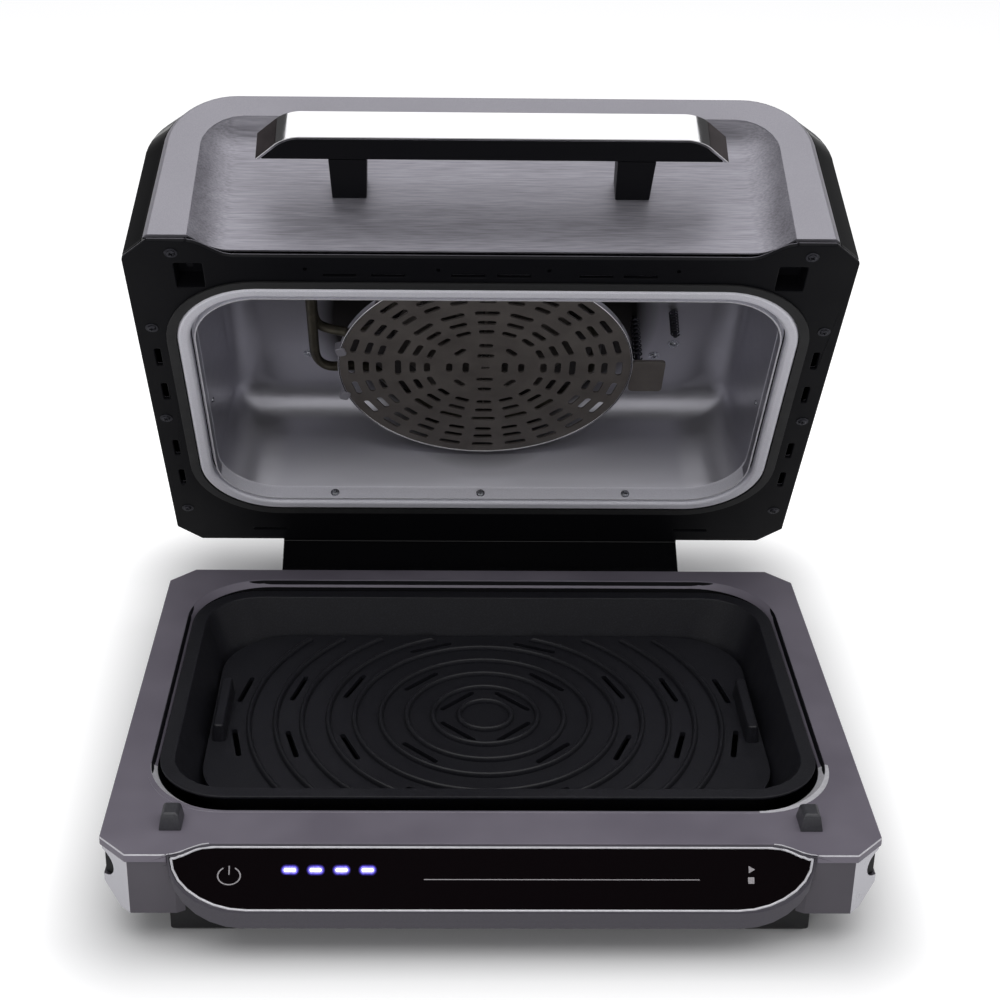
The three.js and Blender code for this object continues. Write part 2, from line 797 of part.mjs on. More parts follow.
function grate() {
  const bottom = grate_top - grate_rib_height - grate_thickness;
  const seat = bottom + grate_thickness / 2;
  const { half, front, back } = grateRoom();
  const middle = (front + back) / 2;
  const slab = prismZ(roundedBox(-half, half, front, back, grate_radius), bottom, bottom + grate_thickness);
  const border = prismZ(roundedBox(-half + grate_rib_margin, half - grate_rib_margin, front + grate_rib_margin,
    back - grate_rib_margin, grate_radius - grate_rib_margin), bottom, grate_top);
  const reach = half - grate_lug_inset - grate_lug_width - grate_slot_width;
  const depth = (back - front) / 2 - grate_rib_margin;
  const ribs = [];
  const slots = [];
  const rings = Math.floor((half - grate_rib_margin) / grate_rib_pitch);
  for (let ring = 1; ring <= rings; ring += 1) {
    const radius = ring * grate_rib_pitch;
    ribs.push(grateRing(radius, grate_rib_width, seat, grate_top, middle, border));
    if (ring % 2 === 1) {
      slots.push(...grateSlots(radius + grate_rib_pitch / 2, middle, bottom - overrun, grate_top, reach, depth));
    }
  }
  const lugs = [-1, 1].map((side) => {
    const outer = side * (half - grate_lug_inset);
    const inner = side * (half - grate_lug_inset - grate_lug_width);
    return block(Math.min(outer, inner), Math.max(outer, inner), middle - grate_lug_length / 2,
      middle + grate_lug_length / 2, seat, bottom + grate_thickness + grate_lug_height);
  });
  const pegs = pegPlaces().map(([x, y]) => rodZ(grate_peg_radius, x, y,
    pan_bottom + pan_wall + grate_seat_height + seat_gap, seat, shaft_steps));
  return join([cut(slab, slots), ...ribs, ...lugs, ...pegs]);
}

// Hinge pieces
function hingeEar(side) {
  const x0 = side * (hinge_arm_half_width + 2 * seat_gap + hinge_washer_thickness);
  const x1 = x0 + side * hinge_ear_width;
  const [low, high] = [Math.min(x0, x1), Math.max(x0, x1)];
  const wall = body_depth - skirt_inset;
  const eye = rodX(hinge_ear_radius, low, high, hinge_y, hinge_z, hinge_round_steps);
  const web = block(low, high, wall + seat_gap, hinge_y, hinge_z - hinge_ear_radius * Math.SQRT1_2,
    hinge_z + hinge_ear_radius * Math.SQRT1_2);
  const bore = rodX(hinge_pin_radius + hinge_clearance, low - overrun, high + overrun, hinge_y, hinge_z,
    hinge_round_steps);
  return cut(join([eye, web]), [bore]);
}

function hingePin(side) {
  const inner = side * (hinge_arm_half_width - hinge_pin_depth);
  const outer = side * (hinge_arm_half_width + 2 * seat_gap + hinge_washer_thickness + hinge_ear_width);
  const head = outer + side * hinge_washer_thickness;
  const shank = rodX(hinge_pin_radius, Math.min(inner, head), Math.max(inner, head), hinge_y, hinge_z,
    hinge_round_steps);
  const cap_out = head + side * hinge_washer_thickness;
  const cap_in = outer + side * seat_gap;
  const cap = rodX(hinge_washer_radius, Math.min(cap_in, cap_out), Math.max(cap_in, cap_out), hinge_y, hinge_z,
    hinge_round_steps);
  return join([shank, cap]);
}

function hingeWasher(side) {
  const inner = side * (hinge_arm_half_width + seat_gap);
  const outer = inner + side * hinge_washer_thickness;
  const [low, high] = [Math.min(inner, outer), Math.max(inner, outer)];
  const ring = rodX(hinge_washer_radius, low, high, hinge_y, hinge_z, hinge_round_steps);
  const bore = rodX(hinge_pin_radius + hinge_clearance, low - overrun, high + overrun, hinge_y, hinge_z,
    hinge_round_steps);
  return cut(ring, [bore]);
}

function hingeArm() {
  const half = hinge_arm_half_width;
  const front = body_depth + hinge_arm_front_gap;
  const back = front + hinge_arm_thickness;
  const barrel = rodX(hinge_barrel_radius, -half, half, hinge_y, hinge_z, hinge_round_steps);
  const high = lid_bottom + hinge_arm_rise;
  const leaf = prismX(outline([
    [front, hinge_z], [hinge_y + hinge_barrel_radius, hinge_z], [back + overrun, plate_top],
    [back + overrun, high - hinge_arm_thickness / 2], [front, high],
  ]), -half, half);
  const seat = prismX(outline([
    [front, lid_bottom + seat_gap], [front, high], [body_depth + seat_gap, high], [body_depth + seat_gap, lid_bottom],
  ]), -half, half);
  const bores = [-1, 1].map((side) => {
    const inner = side * (half - hinge_pin_depth - overrun);
    const outer = side * (half + overrun);
    return rodX(hinge_pin_radius + hinge_clearance, Math.min(inner, outer), Math.max(inner, outer), hinge_y,
      hinge_z, hinge_round_steps);
  });
  return cut(join([barrel, leaf, seat]), bores);
}

function cordGland() {
  const start = body_depth - skirt_inset + seat_gap;
  const z = plate_top - gland_drop;
  const collar = rodY(gland_radius, gland_offset, start, start + gland_length / 3, z, hinge_round_steps);
  const nose = rodY(gland_radius - overrun, gland_offset, start, start + gland_length, z, hinge_round_steps);
  const bore = rodY(gland_bore, gland_offset, start + overrun, start + gland_length + overrun, z, shaft_steps);
  return cut(join([collar, nose]), [bore]);
}

// Lid outline seen from the front at one depth, with tapered sides and round top corners
function lidRing(y, inset, low, drop) {
  const side = half_width - inset;
  const top = lid_top - drop;
  const shoulder = side - lid_side_taper;
  const radius = lid_corner_radius;
  const ring = [new THREE.Vector3(side, y, low)];
  for (const [turn, sign] of [[0, 1], [1, -1]]) {
    for (let step = 0; step <= 2 * arc_steps; step += 1) {
      const angle = (turn + step / (2 * arc_steps)) * Math.PI / 2;
      ring.push(new THREE.Vector3(sign * (shoulder - radius) + radius * Math.cos(angle), y,
        top - radius + radius * Math.sin(angle)));
    }
  }
  ring.push(new THREE.Vector3(-side, y, low));
  return ring;
}

// The panel's outline at a depth, drawn in by an inset, its sides leaning in towards the top
function panelRing(inset, y) {
  const low = lid_bottom - panel_radius - panel_dish_run;
  const high = lid_bottom + lid_height - lid_crown - panel_top_margin;
  return uprightRing(panel_half_width - inset, low + inset, high - inset, panel_radius - inset, y).map((point) => {
    point.x *= 1 - panel_side_lean * (point.z - lid_bottom) / panel_half_width;
    return point;
  });
}

function panelHole(grow, front, back) {
  return loft([panelRing(-grow, front), panelRing(-grow, back)]);
}

function lidShell() {
  const front = flange_thickness + seat_gap;
  const outer = loft([
    lidRing(front, corner_cut - front, shell_bottom, lid_crown),
    lidRing(corner_cut, 0, shell_bottom, 0),
    lidRing(body_depth - corner_cut, 0, shell_bottom, 0),
    lidRing(body_depth, corner_cut, shell_bottom, lid_back_drop),
  ]);
  const inner = loft([
    lidRing(lid_front_frame, lid_wall, shell_bottom - overrun, lid_wall),
    lidRing(body_depth - corner_cut - lid_wall / 2, lid_wall, shell_bottom - overrun, lid_wall),
    lidRing(body_depth - lid_wall, corner_cut + lid_wall / 2, shell_bottom - overrun, lid_back_drop + lid_wall),
  ]);
  return cut(outer, [inner, panelHole(seat_gap, 0, lid_front_frame + overrun)]);
}

function frontFlange() {
  const plate = loft([
    lidRing(0, corner_cut, shell_bottom, lid_crown),
    lidRing(flange_thickness, corner_cut - flange_thickness, shell_bottom, lid_crown),
  ]);
  return cut(plate, [panelHole(0, -overrun, flange_thickness + overrun)]);
}

// The brushed panel: a dished sheet that sinks behind the flange over a short run
function frontPanel() {
  const rings = [];
  for (let step = 0; step <= panel_dish_steps; step += 1) {
    const inset = seat_gap + panel_dish_run * step / panel_dish_steps;
    const depth = seat_gap + panel_dish * easeIn(inset, panel_dish_run);
    rings.push({ inset, depth });
  }
  const ringAt = ({ inset, depth }, behind) => panelRing(inset, depth + behind);
  const sheet = loft([
    ...rings.slice().reverse().map((ring) => ringAt(ring, 0)),
    ...rings.map((ring) => ringAt(ring, panel_sheet)),
  ]);
  const keep = block(-half_width, half_width, -overrun, lid_front_frame, shell_bottom, lid_top);
  return common(sheet, keep);
}

// Handle: half of the bar's plan, with its front swept back at the end
function handlePlan(inset) {
  const lean = Math.tan(handle_end_angle);
  const half = handle_half - inset / Math.sin(handle_end_angle);
  const shoulder = handle_half - handle_end_run;
  const front = -handle_standoff - handle_depth + inset;
  const radius = ((half - shoulder) * lean - handle_depth + inset)
    / (Math.sin(handle_end_angle) * lean - 1 + Math.cos(handle_end_angle));
  const points = [[half, -handle_standoff]];
  for (let step = arc_steps; step >= 0; step -= 1) {
    const angle = (step / arc_steps) * handle_end_angle;
    points.push([shoulder + radius * Math.sin(angle), front + radius * (1 - Math.cos(angle))]);
  }
  const mirrored = points.map(([x, y]) => [-x, y]).reverse();
  return outline([...points, ...mirrored]);
}

function handleCore() {
  return prismZ(handlePlan(handle_cover_sheet + seat_gap), handle_bottom, handle_bottom + handle_height);
}

function handleCover() {
  const outer = prismZ(handlePlan(0), handle_bottom, handle_bottom + handle_height);
  const inner = prismZ(handlePlan(handle_cover_sheet), handle_bottom - overrun,
    handle_bottom + handle_height + overrun);
  return cut(outer, [inner]);
}

function handlePost(side) {
  const level = (y, grow) => [[-1, 0], [1, 0], [1, 1], [-1, 1]].map(([u, v]) => new THREE.Vector3(
    side * post_offset + u * (post_width / 2 - grow), y, handle_bottom + v * (post_height - grow)));
  return loft([level(-handle_standoff + seat_gap, 0), level(panel_dish, post_draft)]);
}

// Inner cover: the black underside of the lid
function slotAcross(x, y, length, width) {
  return block(x - length / 2, x + length / 2, y - width / 2, y + width / 2, lid_bottom - overrun, cover_top + overrun);
}

function coverSlots() {
  const front = cover_slot_places_shares.map((share) => slotAcross(share * half_width, cover_slot_setback,
    cover_slot_length, cover_slot_width));
  const sides = [];
  for (const side of [-1, 1]) {
    for (const share of side_slot_places_shares) {
      sides.push(slotAcross(side * (half_width - side_slot_inset), share * body_depth, side_slot_width,
        side_slot_length));
    }
    sides.push(slotAcross(side * rear_slot_offset, body_depth - rear_slot_setback, rear_slot_length,
      cover_slot_width));
  }
  return [...front, ...sides];
}

function pocketBox(side, grow, low, high) {
  const x = side * stud_offset;
  const front = stud_front - pocket_front_clearance;
  return block(x - pocket_width / 2 - grow, x + pocket_width / 2 + grow, front - grow,
    front + pocket_length + grow, low, high);
}

function innerCover() {
  const slab = prismZ(bodyPlan(0), lid_bottom, cover_top);
  const opening = prismZ(roundedBox(-frame_half_width - seat_gap, frame_half_width + seat_gap,
    frame_front - seat_gap, frame_back + seat_gap, frame_radius + seat_gap), lid_bottom - overrun, cover_top + overrun);
  const recess = prismZ(recessAhead(panel_half_width, panel_dish_run, panel_dish, seat_gap),
    lid_bottom - overrun, cover_top + overrun);
  const cups = [-1, 1].map((side) => pocketBox(side, pocket_wall, lid_bottom, pocket_top + pocket_wall));
  const pockets = [-1, 1].map((side) => pocketBox(side, 0, lid_bottom - overrun, pocket_top));
  const guide = rodZ(plunger_radius + hinge_clearance, -stud_offset, stud_front + stud_length / 2, lid_bottom,
    pocket_top + 2 * pocket_wall, plunger_steps);
  return cut(join([cut(slab, [opening, recess]), ...cups]), [...pockets, guide, ...coverSlots()]);
}

function gasket() {
  const low = lid_bottom - seat_gap - gasket_thickness;
  const grow = gasket_width + seat_gap;
  const outer = prismZ(roundedBox(-frame_half_width - grow, frame_half_width + grow, frame_front - grow,
    frame_back + grow, frame_radius + grow), low, low + gasket_thickness);
  const inner = prismZ(roundedBox(-frame_half_width - seat_gap, frame_half_width + seat_gap,
    frame_front - seat_gap, frame_back + seat_gap, frame_radius + seat_gap), low - overrun, lid_bottom);
  return cut(outer, [inner]);
}

function cavityFrame() {
  const top = frame_bottom + frame_height;
  const ring = (inset, z) => levelRing(frame_half_width - inset, frame_front + inset, frame_back - inset,
    frame_radius - inset, z);
  const outer = loft([ring(frame_edge, frame_bottom), ring(0, frame_bottom + frame_edge), ring(0, top)]);
  const inner = loft([ring(frame_width, frame_bottom - overrun), ring(frame_width, top + overrun)]);
  return cut(outer, [inner]);
}

// Cooking cavity: a short upright wall, then sloping walls up to a flat roof
function cavitySolid(inset, low, roof) {
  const radius = frame_radius - frame_width - seat_gap;
  const bend = frame_bottom + cavity_wall_height;
  return loft([
    levelRing(cavity_half - inset, cavity_front + inset, cavity_back - inset, radius - inset, low),
    levelRing(cavity_half - inset, cavity_front + inset, cavity_back - inset, radius - inset, bend),
    levelRing(cavity_half - inset - cavity_side_slope, cavity_front + inset + cavity_slope,
      cavity_back - inset - cavity_slope, cavity_roof_radius, roof),
  ]);
}

function heaterRisers() {
  return [0, 1].map((leg) => [-heater_leg_offset, heater_riser_front + leg * heater_riser_pitch]);
}

function cavityLiner() {
  const low = frame_bottom + sheet_wall;
  const shell = cut(cavitySolid(0, low, cavity_roof + sheet_wall),
    [cavitySolid(sheet_wall, low - overrun, cavity_roof)]);
  const holes = heaterRisers().map(([x, y]) => rodZ(heater_tube_radius + heater_hole_clearance, x, y,
    cavity_roof - overrun, cavity_roof + overrun, shaft_steps));
  const shaft_hole = rodZ(2 * shaft_radius, 0, guard_setback, cavity_roof - overrun, cavity_roof + overrun, shaft_steps);
  return cut(shell, [...holes, shaft_hole]);
}

// Fan guard: a rimmed disc pierced by rings of slots that follow its radius
function guardSlot(radius, angle, span) {
  const inner = radius - guard_slot_width / 2;
  const outer = radius + guard_slot_width / 2;
  const corners = [[inner, -1], [outer, -1], [outer, 1], [inner, 1]].map(([reach, side]) => [
    reach * Math.cos(angle + side * span / 2), guard_setback + reach * Math.sin(angle + side * span / 2)]);
  return prismZ(outline(corners), guard_z - overrun, guard_z + guard_thickness + overrun);
}

function fanGuard() {
  const disc = rodZ(guard_radius, 0, guard_setback, guard_z, guard_z + guard_thickness, guard_round_steps);
  const rim = cut(rodZ(guard_radius, 0, guard_setback, guard_z, guard_z + guard_rim_height, guard_round_steps),
    [rodZ(guard_radius - guard_thickness, 0, guard_setback, guard_z - overrun, guard_z + guard_rim_height + overrun,
      guard_round_steps)]);
  const slots = [];
  guard_ring_radii_shares.forEach((share, ring) => {
    const pitch = 2 * Math.PI / guard_ring_counts[ring];
    for (let i = 0; i < guard_ring_counts[ring]; i += 1) {
      slots.push(guardSlot(share * guard_radius, i * pitch, pitch * guard_slot_fill_shares[ring]));
    }
  });
  return join([cut(disc, slots), rim]);
}

function guardBracket() {
  const x0 = guard_radius + seat_gap;
  const y0 = guard_setback - tab_forward;
  const high = guard_z + guard_rim_height;
  const plate = block(x0, x0 + tab_width, y0, y0 + tab_length, guard_z + guard_thickness, high);
  const post = block(x0 + tab_width / 2, x0 + tab_width, y0 + tab_length / 3, y0 + tab_length * 2 / 3, guard_z
    + guard_thickness, cavity_roof - seat_gap);
  return join([plate, post]);
}

// Heater: one tube that comes down through the roof, rings the fan and goes back up
function heaterPath() {
  const [first, second] = heaterRisers();
  const high = cavity_roof + sheet_wall + heater_terminal_rise;
  const join_angle = Math.asin(heater_joint_spread / heater_radius);
  const path = new THREE.CurvePath();
  const leg = ([x, y0], level, y1) => [
    new THREE.Vector3(x, y0, high), new THREE.Vector3(x, y0, level + heater_bend),
    new THREE.Vector3(x, y0, level), new THREE.Vector3(x, y0 + heater_bend, level),
    new THREE.Vector3(x, y1 - heater_bend, level), new THREE.Vector3(x, y1, level),
    new THREE.Vector3(x + heater_bend, y1, level),
    new THREE.Vector3(-heater_radius * Math.cos(join_angle) - heater_bend, y1, heater_z),
  ];
  const near = leg(second, heater_z + heater_leg_spread, guard_setback - heater_joint_spread);
  const far = leg(first, heater_z - heater_leg_spread, guard_setback + heater_joint_spread);
  const addLeg = (points) => {
    path.add(new THREE.LineCurve3(points[0], points[1]));
    path.add(new THREE.QuadraticBezierCurve3(points[1], points[2], points[3]));
    path.add(new THREE.LineCurve3(points[3], points[4]));
    path.add(new THREE.QuadraticBezierCurve3(points[4], points[5], points[6]));
    path.add(new THREE.LineCurve3(points[6], points[7]));
  };
  const onRing = (angle) => new THREE.Vector3(heater_radius * Math.cos(angle),
    guard_setback + heater_radius * Math.sin(angle), heater_z);
  const loop = [];
  const start = Math.PI + join_angle + heater_bend / heater_radius;
  const sweep = 2 * (Math.PI - join_angle - heater_bend / heater_radius);
  for (let step = 0; step <= 4 * arc_steps; step += 1) {
    loop.push(onRing(start + sweep * step / (4 * arc_steps)));
  }
  addLeg(near);
  path.add(new THREE.CatmullRomCurve3([near[7], ...loop, far[7]], false, 'centripetal'));
  const back = far.slice().reverse();
  path.add(new THREE.LineCurve3(back[0], back[1]));
  path.add(new THREE.QuadraticBezierCurve3(back[1], back[2], back[3]));
  path.add(new THREE.LineCurve3(back[3], back[4]));
  path.add(new THREE.QuadraticBezierCurve3(back[4], back[5], back[6]));
  path.add(new THREE.LineCurve3(back[6], back[7]));
  return path;
}

function heater() {
  const section = [];
  for (let i = 0; i < heater_sides; i += 1) {
    const angle = 2 * Math.PI * i / heater_sides;
    section.push([heater_tube_radius * Math.cos(angle), heater_tube_radius * Math.sin(angle)]);
  }
  return new THREE.ExtrudeGeometry(outline(section), { steps: heater_steps, extrudePath: heaterPath() });
}

// Fans on one shaft, with the motor between them
function bladedWheel(count, radius, hub, low, high, disc_low) {
  const disc = rodZ(radius, 0, guard_setback, disc_low, disc_low + fan_sheet, 2 * shaft_steps);
  const middle = rodZ(hub, 0, guard_setback, low, high, shaft_steps);
  const blades = [];
  for (let i = 0; i < count; i += 1) {
    const blade = block(hub / 2, radius - fan_sheet, -fan_sheet / 2, fan_sheet / 2, low, high);
    blades.push(blade.rotateZ(2 * Math.PI * i / count).translate(0, guard_setback, 0));
  }
  const bore = rodZ(shaft_radius + seat_gap, 0, guard_setback, low - overrun, high + overrun, shaft_steps);
  return cut(join([disc, middle, ...blades]), [bore]);
}

function convectionFan() {
  const high = fan_bottom + fan_height;
  return bladedWheel(fan_blade_count, fan_radius, fan_hub_radius, fan_bottom, high, high - fan_sheet);
}

function coolingFan() {
  return bladedWheel(cooler_blade_count, cooler_radius, fan_hub_radius, cooler_bottom,
    cooler_bottom + cooler_height, cooler_bottom);
}

function fanShaft() {
  return rodZ(shaft_radius, 0, guard_setback, fan_bottom - overrun, cooler_bottom + cooler_height + seat_gap,
    shaft_steps);
}

function motorBracket() {
  const low = cavity_roof + sheet_wall + seat_gap;
  const plate = block(-bracket_length / 2, bracket_length / 2, guard_setback - bracket_width / 2,
    guard_setback + bracket_width / 2, low + bracket_rise, low + bracket_rise + bracket_sheet);
  const feet = [-1, 1].map((side) => block(side * (bracket_length - bracket_foot) / 2 - bracket_foot / 2,
    side * (bracket_length - bracket_foot) / 2 + bracket_foot / 2, guard_setback - bracket_width / 2,
    guard_setback + bracket_width / 2, low, low + bracket_rise + bracket_sheet));
  return cut(join([plate, ...feet]), [rodZ(2 * shaft_radius, 0, guard_setback, low - overrun, bracket_top + overrun,
    shaft_steps)]);
}

function motor() {
  const can = rodZ(motor_radius, 0, guard_setback, motor_bottom, motor_bottom + motor_height, hinge_round_steps);
  return cut(can, [rodZ(shaft_radius + seat_gap, 0, guard_setback, motor_bottom - overrun,
    motor_bottom + motor_height + overrun, shaft_steps)]);
}

function temperatureSensor() {
  const high = cavity_roof - seat_gap;
  const rod = rodZ(sensor_radius, sensor_offset, sensor_setback, high - sensor_length, high, shaft_steps);
  const boss = rodZ(sensor_boss, sensor_offset, sensor_setback, high - sensor_boss, high, shaft_steps);
  return join([rod, boss]);
}

// Lid switch: its body sits on the left pocket and its plunger looks into it
function switchBody() {
  const y = stud_front + stud_length / 2;
  const low = pocket_top + pocket_wall + seat_gap;
  const body = block(-stud_offset - switch_length / 2, -stud_offset + switch_length / 2, y - pocket_width / 2,
    y + pocket_width / 2, low, low + switch_height);
  return cut(body, [rodZ(plunger_radius + hinge_clearance, -stud_offset, y, low - overrun,
    low + switch_height - pocket_wall, plunger_steps)]);
}

function switchPlunger() {
  const y = stud_front + stud_length / 2;
  const high = pocket_top + pocket_wall + switch_height - pocket_wall - plunger_travel - seat_gap;
  return rodZ(plunger_radius, -stud_offset, y, stud_top + plunger_tip_clearance, high, plunger_steps);
}

function backVent() {
  const low = lid_bottom + back_vent_rise;
  const plate = block(-back_vent_half_width, back_vent_half_width, body_depth + seat_gap,
    body_depth + seat_gap + back_vent_thickness, low, low + back_vent_height);
  const slots = [];
  for (let i = 0; i < back_vent_slots; i += 1) {
    const z = low + back_vent_height * (i + 1) / (back_vent_slots + 1);
    slots.push(block(-back_vent_half_width * 4 / 5, back_vent_half_width * 4 / 5, body_depth,
      body_depth + back_vent_thickness + overrun, z - back_vent_slot_height / 2, z + back_vent_slot_height / 2));
  }
  return cut(plate, slots);
}

// Assembly: the base stands on the floor and the lid turns open about its pins
const product = new THREE.Group();
const base = new THREE.Group();
const lid_hinge = new THREE.Group();
const lid = new THREE.Group();
lid_hinge.position.set(0, hinge_y, hinge_z);
lid_hinge.rotation.x = -lid_open_angle;
lid.position.set(0, -hinge_y, -hinge_z);
lid_hinge.add(lid);
product.add(base, lid_hinge);

function add(group, name, geometry, material) {
  const mesh = new THREE.Mesh(geometry, material);
  mesh.name = name;
  group.add(mesh);
}

add(base, 'top_plate', topPlate(), finish('grey', 0.4, 0.3));
add(base, 'skirt', skirt(), finish('grey', 0.4, 0.3));
add(base, 'bottom_cover', bottomCover(), finish('black', 0.6, 0));
add(base, 'panel_bezel', panelBezel(), finish('flange', 0.35, 0.5));
add(base, 'touch_glass', touchGlass(), finish('gloss', 0.05, 0));
add(base, 'control_board', controlBoard(), finish('board', 0.6, 0));
add(base, 'power_board', powerBoard(), finish('board', 0.6, 0));
add(base, 'bay_liner', bayLiner(), finish('steel', 0.3, 1));
add(base, 'cord_gland', cordGland(), finish('rubber', 0.7, 0));
add(base, 'pan', pan(), finish('black', 0.5, 0.2));
add(base, 'grate', grate(), finish('black', 0.5, 0.2));
for (const [side, name] of [[-1, 'left'], [1, 'right']]) {
  add(base, `side_grip_${name}`, sideGrip(side), finish('black', 0.5, 0));
  add(base, `stud_${name}`, stud(side), finish('black', 0.5, 0));
  add(base, `foot_front_${name}`, foot(side, -1), finish('rubber', 0.8, 0));
  add(base, `foot_back_${name}`, foot(side, 1), finish('rubber', 0.8, 0));
  add(base, `hinge_ear_${name}`, hingeEar(side), finish('black', 0.5, 0));
  add(base, `hinge_pin_${name}`, hingePin(side), finish('steel', 0.3, 1));
  add(base, `hinge_washer_${name}`, hingeWasher(side), finish('steel', 0.5, 0));
  add(lid, `handle_post_${name}`, handlePost(side), finish('black', 0.4, 0));
}
add(lid, 'lid_shell', lidShell(), finish('gloss', 0.15, 0));
add(lid, 'front_flange', frontFlange(), finish('flange', 0.4, 0.3));
add(lid, 'front_panel', frontPanel(), finish('brushed', 0.35, 0.9));
add(lid, 'inner_cover', innerCover(), finish('black', 0.5, 0));
add(lid, 'lid_gasket', gasket(), finish('rubber', 0.7, 0));
add(lid, 'cavity_frame', cavityFrame(), finish('steel', 0.35, 0.9));
add(lid, 'cavity_liner', cavityLiner(), finish('steel', 0.35, 0.9));
add(lid, 'fan_guard', fanGuard(), finish('dark', 0.5, 0.6));
add(lid, 'guard_bracket', guardBracket(), finish('dark', 0.5, 0.6));
add(lid, 'heater', heater(), finish('olive', 0.5, 0.6));
add(lid, 'temperature_sensor', temperatureSensor(), finish('dark', 0.4, 0.8));
add(lid, 'motor_bracket', motorBracket(), finish('steel', 0.4, 0.9));
add(lid, 'motor', motor(), finish('steel', 0.4, 0.9));
add(lid, 'convection_fan', convectionFan(), finish('steel', 0.4, 0.9));
add(lid, 'cooling_fan', coolingFan(), finish('black', 0.5, 0));
add(lid, 'fan_shaft', fanShaft(), finish('steel', 0.3, 1));
add(lid, 'switch_body', switchBody(), finish('black', 0.5, 0));
add(lid, 'switch_plunger', switchPlunger(), finish('copper', 0.5, 0));
add(lid, 'handle_core', handleCore(), finish('black', 0.4, 0));
add(lid, 'handle_cover', handleCover(), finish('chrome', 0.12, 1));
add(lid, 'hinge_arm', hingeArm(), finish('black', 0.4, 0));
add(lid, 'back_vent', backVent(), finish('black', 0.5, 0));

// The origin is on the floor, in the middle of the standing appliance
product.updateMatrixWorld(true);
const bounds = new THREE.Box3().setFromObject(product, true);
product.position.y = -(bounds.min.y + bounds.max.y) / 2;
product.updateMatrixWorld(true);

export default product;
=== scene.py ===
import json
import math

import bmesh
import bpy
from mathutils import Matrix, Vector

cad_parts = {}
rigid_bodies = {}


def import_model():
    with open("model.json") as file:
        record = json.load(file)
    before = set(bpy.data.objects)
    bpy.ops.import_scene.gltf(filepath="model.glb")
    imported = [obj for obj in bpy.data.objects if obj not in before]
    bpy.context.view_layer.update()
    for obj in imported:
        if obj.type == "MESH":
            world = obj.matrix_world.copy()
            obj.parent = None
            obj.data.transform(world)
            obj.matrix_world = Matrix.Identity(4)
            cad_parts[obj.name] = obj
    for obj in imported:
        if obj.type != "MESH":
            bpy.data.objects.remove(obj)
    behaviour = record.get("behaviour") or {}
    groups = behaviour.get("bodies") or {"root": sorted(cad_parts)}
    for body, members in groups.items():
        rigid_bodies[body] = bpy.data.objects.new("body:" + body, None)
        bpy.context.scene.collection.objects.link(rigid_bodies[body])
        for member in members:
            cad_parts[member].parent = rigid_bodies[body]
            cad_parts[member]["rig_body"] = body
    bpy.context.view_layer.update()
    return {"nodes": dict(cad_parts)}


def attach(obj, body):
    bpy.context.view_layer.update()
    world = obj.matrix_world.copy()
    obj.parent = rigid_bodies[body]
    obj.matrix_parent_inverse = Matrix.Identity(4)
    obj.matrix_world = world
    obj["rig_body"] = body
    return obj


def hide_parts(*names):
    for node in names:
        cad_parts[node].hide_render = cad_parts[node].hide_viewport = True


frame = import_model()

# Places with the lid shut, in millimetres: x from the middle, y from the plate's front edge, z from the floor
FRONT_TO_MIDDLE = 221.8955
HINGE_Y = 344.3
HINGE_Z = 29.4
LID_OPEN = math.radians(59)
LID_BOTTOM = 63
SHELL_ROOF = 135
GUARD_Y = 161


def mm(value):
    return value / 1000


def spot(x, y, z):
    return Vector((mm(x), mm(y), mm(z)))


BASE_PLACE = Matrix.Translation(spot(0, -FRONT_TO_MIDDLE, 0))
LID_PLACE = (
    BASE_PLACE
    @ Matrix.Translation(spot(0, HINGE_Y, HINGE_Z))
    @ Matrix.Rotation(-LID_OPEN, 4, "X")
    @ Matrix.Translation(spot(0, -HINGE_Y, -HINGE_Z))
)
PLACES = {"lid": LID_PLACE, "fan": LID_PLACE, "switch_plunger_body": LID_PLACE}


# Materials, with the sizes of their patterns in millimetres


def linear(code):
    channels = [int(code[i : i + 2], 16) / 255 for i in (1, 3, 5)]
    return (*(c / 12.92 if c <= 0.04045 else ((c + 0.055) / 1.055) ** 2.4 for c in channels), 1)


def node(tree, kind, settings=None, **inputs):
    """Adds a node with its settings, and a value or link for each input, where _ stands for a space."""
    made = tree.nodes.new(kind)
    for name, value in (settings or {}).items():
        setattr(made, name, value)
    for name, value in inputs.items():
        key = int(name[1:]) if name[0] == "n" and name[1:].isdigit() else name.replace("_", " ")
        if isinstance(value, bpy.types.NodeSocket):
            tree.links.new(value, made.inputs[key])
        else:
            made.inputs[key].default_value = value
    return made


def spread(tree, source, low, high, at=(0.3, 0.7)):
    """The source's values between at, brought to low..high."""
    return node(tree, "ShaderNodeMapRange", n0=source, From_Min=at[0], From_Max=at[1], To_Min=low,
                To_Max=high).outputs[0]


